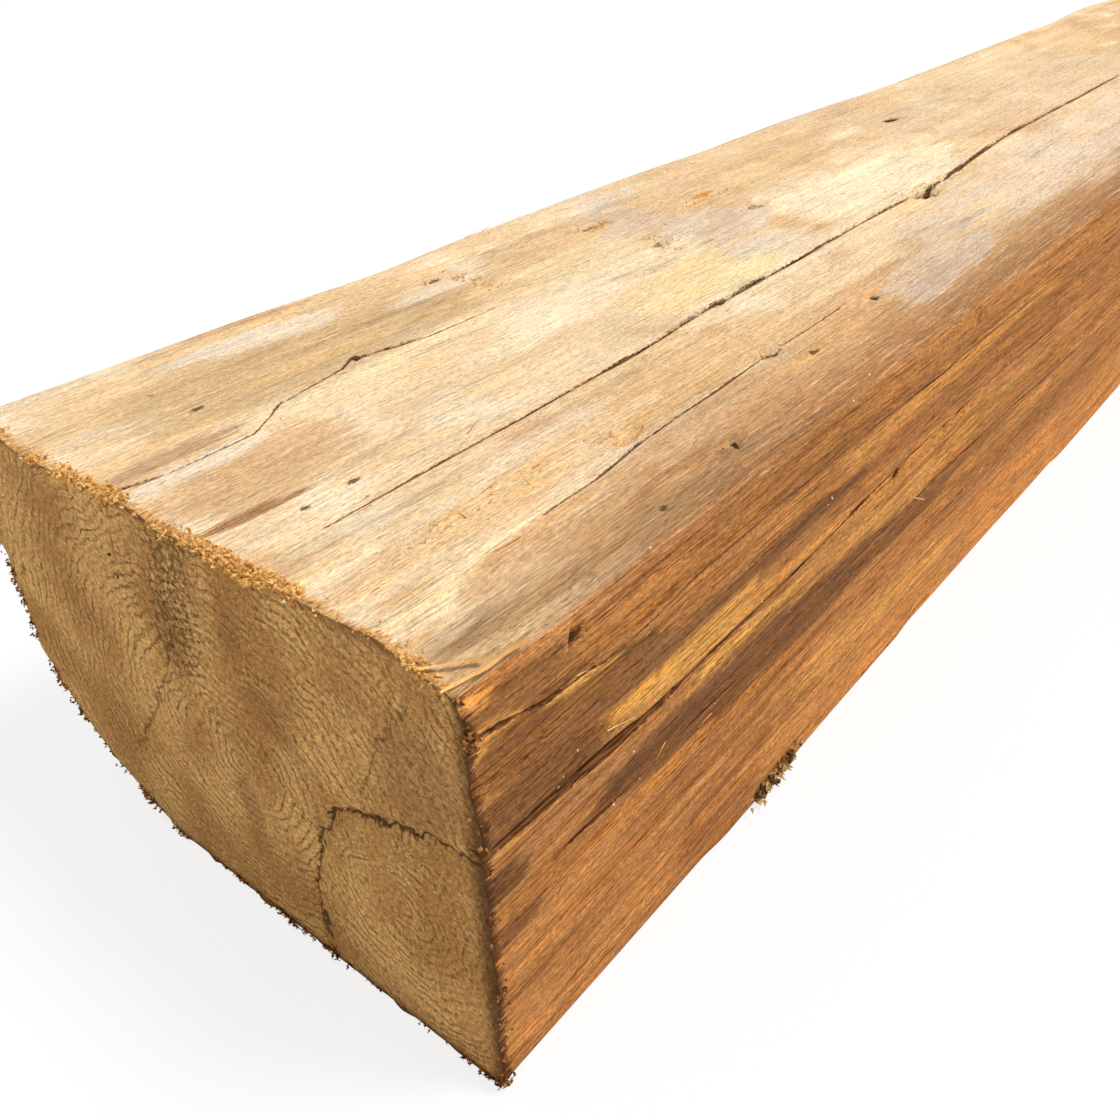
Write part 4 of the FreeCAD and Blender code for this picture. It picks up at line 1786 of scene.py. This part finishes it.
    def build(
        self, spots: Array, aims: Array, sizes: Array, finish: bpy.types.Material
    ) -> bpy.types.Object:
        """Make the scatter as one plain mesh.

        Args:
            spots: where the things are, in metres in the row frame.
            aims: which way each one points.
            sizes: how long each one is, about 1.
            finish: their finish.

        Returns:
            The finished object.
        """
        points = bpy.data.meshes.new(f"{self.name}_points")
        points.from_pydata(spots.tolist(), [], [])
        aim = points.attributes.new("aim", "FLOAT_VECTOR", "POINT")
        aim.data.foreach_set("vector", aims.astype(np.float32).ravel())
        size = points.attributes.new("size", "FLOAT", "POINT")
        size.data.foreach_set("value", sizes.astype(np.float32))
        carrier = bpy.data.objects.new(f"{self.name}_carrier", points)
        bpy.context.collection.objects.link(carrier)
        modifier = carrier.modifiers.new("scatter", "NODES")
        tree = self.group(finish)
        modifier.node_group = tree
        wanted = {"Thickness": self.thickness, "Length": self.length, "Bend": self.bend, "Seed": self.seed}
        for item in tree.interface.items_tree:
            if item.in_out == "INPUT" and item.name in wanted:
                modifier[item.identifier] = wanted[item.name]
        bpy.context.view_layer.update()
        graph = bpy.context.evaluated_depsgraph_get()
        mesh = bpy.data.meshes.new_from_object(carrier.evaluated_get(graph), depsgraph=graph)
        bpy.data.objects.remove(carrier)
        mesh.name = self.name
        made = bpy.data.objects.new(self.name, mesh)
        bpy.context.collection.objects.link(made)
        LOG.info("%s: %d faces", self.name, len(mesh.polygons))
        return made


@dataclass(frozen=True)
class Sliver:
    """One splinter or straw, made as a thin tapered strip with a four-sided section.

    Attributes:
        name: the finished object's name.
        route: its middle line as (along, across, up) in mm, root first.
        half: half of its width, in mm.
        thick: half of its thickness, in mm.
        taper: how much of its width is left at the tip, 0 to 1.
    """

    name: str
    route: tuple[tuple[float, float, float], ...]
    half: float
    thick: float
    taper: float

    def build(self, measures: Measures, finish: bpy.types.Material) -> bpy.types.Object:
        """Make the sliver.

        Args:
            measures: the timber's sizes and place.
            finish: its finish.

        Returns:
            The finished object.
        """
        corners = np.array(self.route)
        portions = np.linspace(0, 1, 14)
        held = np.linspace(0, 1, len(corners))
        line = np.stack([np.interp(portions, held, corners[:, axis]) for axis in range(3)], axis=-1)
        line[:, 2] += 0.12 * np.sin(9.0 * portions)
        run = np.gradient(line, axis=0)
        run /= np.linalg.norm(run, axis=1, keepdims=True)
        flat = np.cross(run, (0.0, 0.0, 1.0))
        flat /= np.linalg.norm(flat, axis=1, keepdims=True)
        lift = np.cross(flat, run)
        width = self.half * (1 - (1 - self.taper) * portions**1.5) * (1 + 0.18 * np.sin(17.0 * portions))
        rows = [line + flat * width[:, None], line + lift * self.thick, line - flat * width[:, None]]
        rows.append(line - lift * self.thick)
        vertices = measures.in_row(np.stack(rows, axis=1).reshape(-1, 3))
        faces: list[tuple[int, ...]] = [(3, 2, 1, 0)]
        for ring in range(len(line) - 1):
            for side in range(4):
                first, second = 4 * ring + side, 4 * ring + (side + 1) % 4
                faces.append((first, second, second + 4, first + 4))
        last = 4 * (len(line) - 1)
        faces.append((last, last + 1, last + 2, last + 3))
        mesh = bpy.data.meshes.new(self.name)
        mesh.from_pydata(vertices.tolist(), [], faces)
        mesh.materials.append(finish)
        shade = mesh.attributes.new("shade", "FLOAT", "POINT")
        shade.data.foreach_set("value", np.tile(np.linspace(0.35, 0.8, len(line)), (4, 1)).T.ravel())
        make_faces_outward(mesh)
        made = bpy.data.objects.new(self.name, mesh)
        bpy.context.collection.objects.link(made)
        LOG.info("%s: %d faces", self.name, len(mesh.polygons))
        return made


def make_faces_outward(mesh: bpy.types.Mesh) -> None:
    """Turn all of a closed mesh's faces outward."""
    work = bmesh.new()
    work.from_mesh(mesh)
    bmesh.ops.recalc_face_normals(work, faces=work.faces)
    work.to_mesh(mesh)
    work.free()


@dataclass
class LooseWood:
    """Torn fibres at the sawn edges, splinters on the faces, and pale crumbs of plaster.

    Attributes:
        measures: the timber's sizes and place.
        timber: the finished timber.
    """

    measures: Measures
    timber: bpy.types.Object

    def __post_init__(self) -> None:
        """Read the timber's surface once."""
        mesh = self.timber.data
        count = len(mesh.vertices)
        self.points = np.empty(count * 3, np.float32)
        mesh.vertices.foreach_get("co", self.points)
        self.points = self.points.reshape(-1, 3)
        self.normals = np.empty(count * 3, np.float32)
        mesh.vertices.foreach_get("normal", self.normals)
        self.normals = self.normals.reshape(-1, 3)
        self.random = np.random.default_rng(17)

    def near(self, low: Sequence[float], high: Sequence[float]) -> Array:
        """Return the numbers of the timber's vertices inside a box given in mm on the timber."""
        lowest = self.measures.in_row(np.array(low))
        highest = self.measures.in_row(np.array(high))
        inside = np.all((self.points >= lowest) & (self.points <= highest), axis=1)
        return np.nonzero(inside)[0]

    def edge_fibres(self, name: str, upper: bool, finish: bpy.types.Material) -> bpy.types.Object:
        """Make the crumbly fringe of torn fibres round both sawn ends.

        Args:
            name: the finished object's name.
            upper: whether this is the fringe along the top, or along the other faces.
            finish: the fibres' finish.

        Returns:
            The finished object.
        """
        width, height, length = self.measures.width, self.measures.height, self.measures.length
        spots, aims, sizes = [], [], []
        for at, outward in ((0.0, -1.0), (length, 1.0)):
            rim = self.near((at - 4, -9, -1), (at + 4, width + 9, height + 9))
            normal = self.normals[rim]
            on_top = self.points[rim][:, 2] > (height - 5.0) * MM
            rim = rim[(np.hypot(normal[:, 1], normal[:, 2]) > 0.35) & (on_top == upper)]
            lumps = np.maximum(noise(self.points[rim].astype(float) / MM, (40, 9, 9), 301) + 0.25, 0.04)
            picked = self.random.choice(rim, size=EDGE_FIBRES, p=lumps / lumps.sum())
            base = self.points[picked] + self.random.normal(0, 0.0007, (len(picked), 3))
            base[:, 2] = np.maximum(base[:, 2], 0.0012)
            aim = self.normals[picked] * 0.5 + self.random.normal(0, 0.6, (len(picked), 3))
            aim[:, 0] += outward * 0.5
            aim[:, 2] = np.where(base[:, 2] < 0.006, np.abs(aim[:, 2]) * 0.2 + 0.1, aim[:, 2])
            spots.append(base)
            aims.append(aim)
            sizes.append(self.random.uniform(0.3, 1.1, len(picked)))
        scatter = Scatter(name, Shape.FIBRE, 0.00055, 0.0014, 0.0007, 5)
        return scatter.build(np.concatenate(spots), np.concatenate(aims), np.concatenate(sizes), finish)

    def face_splinters(self, finish: bpy.types.Material) -> bpy.types.Object:
        """Make the thin splinters that lie along the grain of the faces."""
        width, height, length = self.measures.width, self.measures.height, self.measures.length
        near = self.near((12, -9, 20), (620, width + 9, height + 9))
        far = self.near((620, -9, 20), (length - 10, width + 9, height + 9))
        picked = np.concatenate([self.random.choice(part, FACE_SPLINTERS) for part in (near, far)])
        base = self.points[picked] + self.normals[picked] * 0.00015
        aim = self.random.normal(0, 0.10, (len(picked), 3))
        aim[:, 0] += self.random.choice([-1.0, 1.0], len(picked))
        aim += self.normals[picked] * self.random.uniform(0.0, 0.16, len(picked))[:, None]
        sizes = self.random.uniform(0.3, 1.3, len(picked)) ** 1.6
        scatter = Scatter("face_splinters", Shape.FIBRE, 0.0002, 0.0062, 0.0008, 9)
        return scatter.build(base, aim, sizes, finish)

    def torn_tufts(self, finish: bpy.types.Material) -> bpy.types.Object:
        """Make the tufts of fibre that stand in the torn spots."""
        spots, aims, sizes = [], [], []
        height = self.measures.height
        for along, across, reach, half, count in TORN_TUFTS:
            box_low = (along - reach, across - half, height - 14)
            box_high = (along + reach, across + half, height + 9)
            picked = self.random.choice(self.near(box_low, box_high), count)
            aim = self.random.normal(0, 0.45, (count, 3)) + self.normals[picked] * 0.35
            aim[:, 0] += self.random.choice([-0.9, 0.9], count)
            spots.append(self.points[picked])
            aims.append(aim)
            sizes.append(self.random.uniform(0.4, 1.2, count))
        scatter = Scatter("torn_tufts", Shape.FIBRE, 0.00032, 0.0034, 0.0014, 23)
        return scatter.build(np.concatenate(spots), np.concatenate(aims), np.concatenate(sizes), finish)

    def hanging_flake(self, finish: bpy.types.Material) -> bpy.types.Object:
        """Make the flake of bark and dried mud that hangs from the lower arris."""
        count = FLAKE_FIBRES
        line = self.random.uniform(-1.0, 1.0, count)
        spots = np.stack([153 + 15 * line, np.full(count, -1.0), 5.0 + 1.5 * line], axis=-1)
        spots += self.random.normal(0, 1.0, (count, 3)) * np.array([3.0, 1.1, 1.3])
        spots[:, 1] = np.clip(spots[:, 1], -4.5, 0.6)
        spots[:, 2] = np.maximum(spots[:, 2], 3.2)
        aims = self.random.normal(0, 0.5, (count, 3)) + np.array([0.0, -0.5, -0.2])
        aims[:, 0] += self.random.choice([-1.0, 1.0], count)
        sizes = self.random.uniform(0.4, 1.2, count)
        scatter = Scatter("hanging_flake", Shape.FIBRE, 0.0011, 0.0036, 0.001, 47)
        return scatter.build(self.measures.in_row(spots), aims, sizes, finish)

    def pale_crumbs(self, finish: bpy.types.Material) -> bpy.types.Object:
        """Make the crumbs of old plaster and dried dirt."""
        picked = []
        height, width, length = self.measures.height, self.measures.width, self.measures.length
        for along, across, reach, half, count in PLASTER_PATCHES:
            box_low = (along - reach, across - half, height - 6)
            inside = self.near(box_low, (along + reach, across + half, height + 6))
            picked.append(self.random.choice(inside, count))
        for along, up in SIDE_CRUMBS:
            picked.append(self.random.choice(self.near((along - 3, -9, up - 2), (along + 3, 6, up + 2)), 3))
        picked.append(self.random.choice(self.near((20, -9, 15), (length - 20, 8, height)), 110))
        anywhere = self.near((20, -9, height - 6), (length - 20, width, height + 9))
        picked.append(self.random.choice(anywhere, 150))
        chosen = np.concatenate(picked)
        count = len(chosen)
        base = self.points[chosen] + self.random.normal(0, 0.0006, (count, 3))
        aim = self.normals[chosen] + self.random.normal(0, 0.2, (count, 3))
        sizes = self.random.uniform(0.3, 0.9, count)
        scatter = Scatter("pale_crumbs", Shape.CRUMB, 0.00036, 0.001, 0.0, 31)
        return scatter.build(base, aim, sizes, finish)


# ---------------------------------------------------------------- the rafter, and where it is seen


@dataclass
class Rafter:
    """The whole object.

    Attributes:
        measures: the timber's sizes and place.
    """

    measures: Measures

    def build(self) -> list[bpy.types.Object]:
        """Make every piece.

        Returns:
            The pieces, with the timber first.
        """
        faces, ends = FaceFinish(self.measures).make(), EndFinish(self.measures).make()
        timber = TimberSkin(self.measures).build((faces, ends))
        honey, umber, straw, bark, plaster = (FibreFinish(*row).make() for row in FIBRE_FINISHES)
        loose = LooseWood(self.measures, timber)
        height = self.measures.height
        lifted = ((12, 4.6, height - 1.4), (5, 8.0, height + 0.2), (-2, 12, height + 0.8))
        torn = ((24, 3.0, height - 2.8), (10, 3.6, height - 2.6), (-1.5, 5.0, height - 2.2))
        slivers = (
            Sliver("lifted_splinter", lifted, 0.55, 0.3, 0.8),
            Sliver("torn_strip", torn, 1.0, 0.4, 0.5),
            Sliver("straw_wisp", ((236, -1.6, 88), (248, -2.0, 81), (262, -1.6, 73)), 0.32, 0.2, 0.4),
        )
        pieces = [timber, loose.edge_fibres("upper_fringe", True, honey)]
        pieces.append(loose.edge_fibres("dark_fringe", False, umber))
        pieces.append(loose.face_splinters(straw))
        pieces.append(loose.torn_tufts(honey))
        pieces.append(loose.pale_crumbs(plaster))
        pieces.append(loose.hanging_flake(bark))
        pieces += [sliver.build(self.measures, straw) for sliver in slivers]
        return pieces

    def dress(self, pieces: Sequence[bpy.types.Object]) -> None:
        """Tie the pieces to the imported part.

        Args:
            pieces: the pieces, with the timber first.
        """
        for piece in pieces:
            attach(piece, "root")
        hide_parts(NODE)


@dataclass(frozen=True)
class Studio:
    """The floor, the light and the camera.

    Attributes:
        measures: the timber's sizes and place.
        sky: the strength of the even light.
        sun: the strength of the soft sun.
        sun_spread: how wide the sun is, in degrees.
        lens: the lens on a 36 mm sensor, in mm.
        stand: where the camera is, along, across and above the timber, in mm.
    """

    measures: Measures
    sky: float = 0.62
    sun: float = 2.3
    sun_spread: float = 16.0
    lens: float = 34.35
    stand: tuple[float, float, float] = (-118.2, -129.0, 296.9)

    def build(self) -> None:
        """Make the floor, the lights and the camera."""
        self.floor()
        self.world()
        self.sunlight()
        self.camera()

    def floor(self) -> None:
        """Lay the white floor."""
        size = 40.0
        mesh = bpy.data.meshes.new("floor")
        corners = [(-size, -size, 0), (size, -size, 0), (size, size, 0), (-size, size, 0)]
        mesh.from_pydata(corners, [], [(0, 1, 2, 3)])
        graph = Graph("white_floor")
        paths = graph.node("ShaderNodeLightPath")
        glow = graph.node("ShaderNodeEmission")
        glow.inputs["Strength"].default_value = 1.0
        glow.inputs["Color"].default_value = (1, 1, 1, 1)
        graph.finish((0.9, 0.9, 0.9), 0.95, None, 0.0)
        both = graph.node("ShaderNodeMixShader")
        graph.feed(both.inputs[0], graph.times(paths.outputs["Is Camera Ray"], 0.8))
        graph.tree.links.new(graph.shader.outputs[0], both.inputs[1])
        graph.tree.links.new(glow.outputs[0], both.inputs[2])
        graph.tree.links.new(both.outputs[0], graph.tree.nodes["Material Output"].inputs["Surface"])
        mesh.materials.append(graph.material)
        floor = bpy.data.objects.new("floor", mesh)
        bpy.context.collection.objects.link(floor)

    def world(self) -> None:
        """Light the scene evenly, in front of a white backdrop."""
        world = bpy.data.worlds.new("studio")
        bpy.context.scene.world = world
        world.use_nodes = True
        tree = world.node_tree
        sky = tree.nodes["Background"]
        sky.inputs["Color"].default_value = (1.0, 0.985, 0.96, 1.0)
        sky.inputs["Strength"].default_value = self.sky
        backdrop = tree.nodes.new("ShaderNodeBackground")
        backdrop.inputs["Color"].default_value = (1, 1, 1, 1)
        backdrop.inputs["Strength"].default_value = 1.0
        paths = tree.nodes.new("ShaderNodeLightPath")
        both = tree.nodes.new("ShaderNodeMixShader")
        tree.links.new(paths.outputs["Is Camera Ray"], both.inputs[0])
        tree.links.new(sky.outputs[0], both.inputs[1])
        tree.links.new(backdrop.outputs[0], both.inputs[2])
        tree.links.new(both.outputs[0], tree.nodes["World Output"].inputs["Surface"])

    def sunlight(self) -> None:
        """Hang the soft sun over the weathered side."""
        light = bpy.data.lights.new("sun", "SUN")
        light.energy = self.sun
        light.angle = math.radians(self.sun_spread)
        light.color = (1.0, 0.97, 0.92)
        sun = bpy.data.objects.new("sun", light)
        towards = Vector((0.30, -0.42, 0.86))
        sun.rotation_euler = towards.to_track_quat("Z", "Y").to_euler()
        sun.location = towards
        bpy.context.collection.objects.link(sun)

    def camera(self) -> None:
        """Stand the camera close to the near end, above the weathered side."""
        data = bpy.data.cameras.new("camera")
        data.lens = self.lens
        data.sensor_width = 36.0
        data.clip_start = 0.01
        camera = bpy.data.objects.new("camera", data)
        right = Vector(CAMERA_RIGHT)
        back = Vector(CAMERA_BACK)
        above = back.cross(right)
        turn = Matrix((right, above, back)).transposed().to_4x4()
        turn.translation = self.measures.spot(*self.stand)
        camera.matrix_world = turn
        bpy.context.collection.objects.link(camera)
        bpy.context.scene.camera = camera


def write_sizes() -> None:
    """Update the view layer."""
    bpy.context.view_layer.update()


def main() -> None:
    """Build the rafter and where it is seen."""
    measures = Measures.of_node(NODE, 225.0, 150.0)
    rafter = Rafter(measures)
    rafter.dress(rafter.build())
    Studio(measures).build()
    bpy.context.scene.view_settings.view_transform = "Standard"
    write_sizes()


if __name__ == "__main__":
    main()
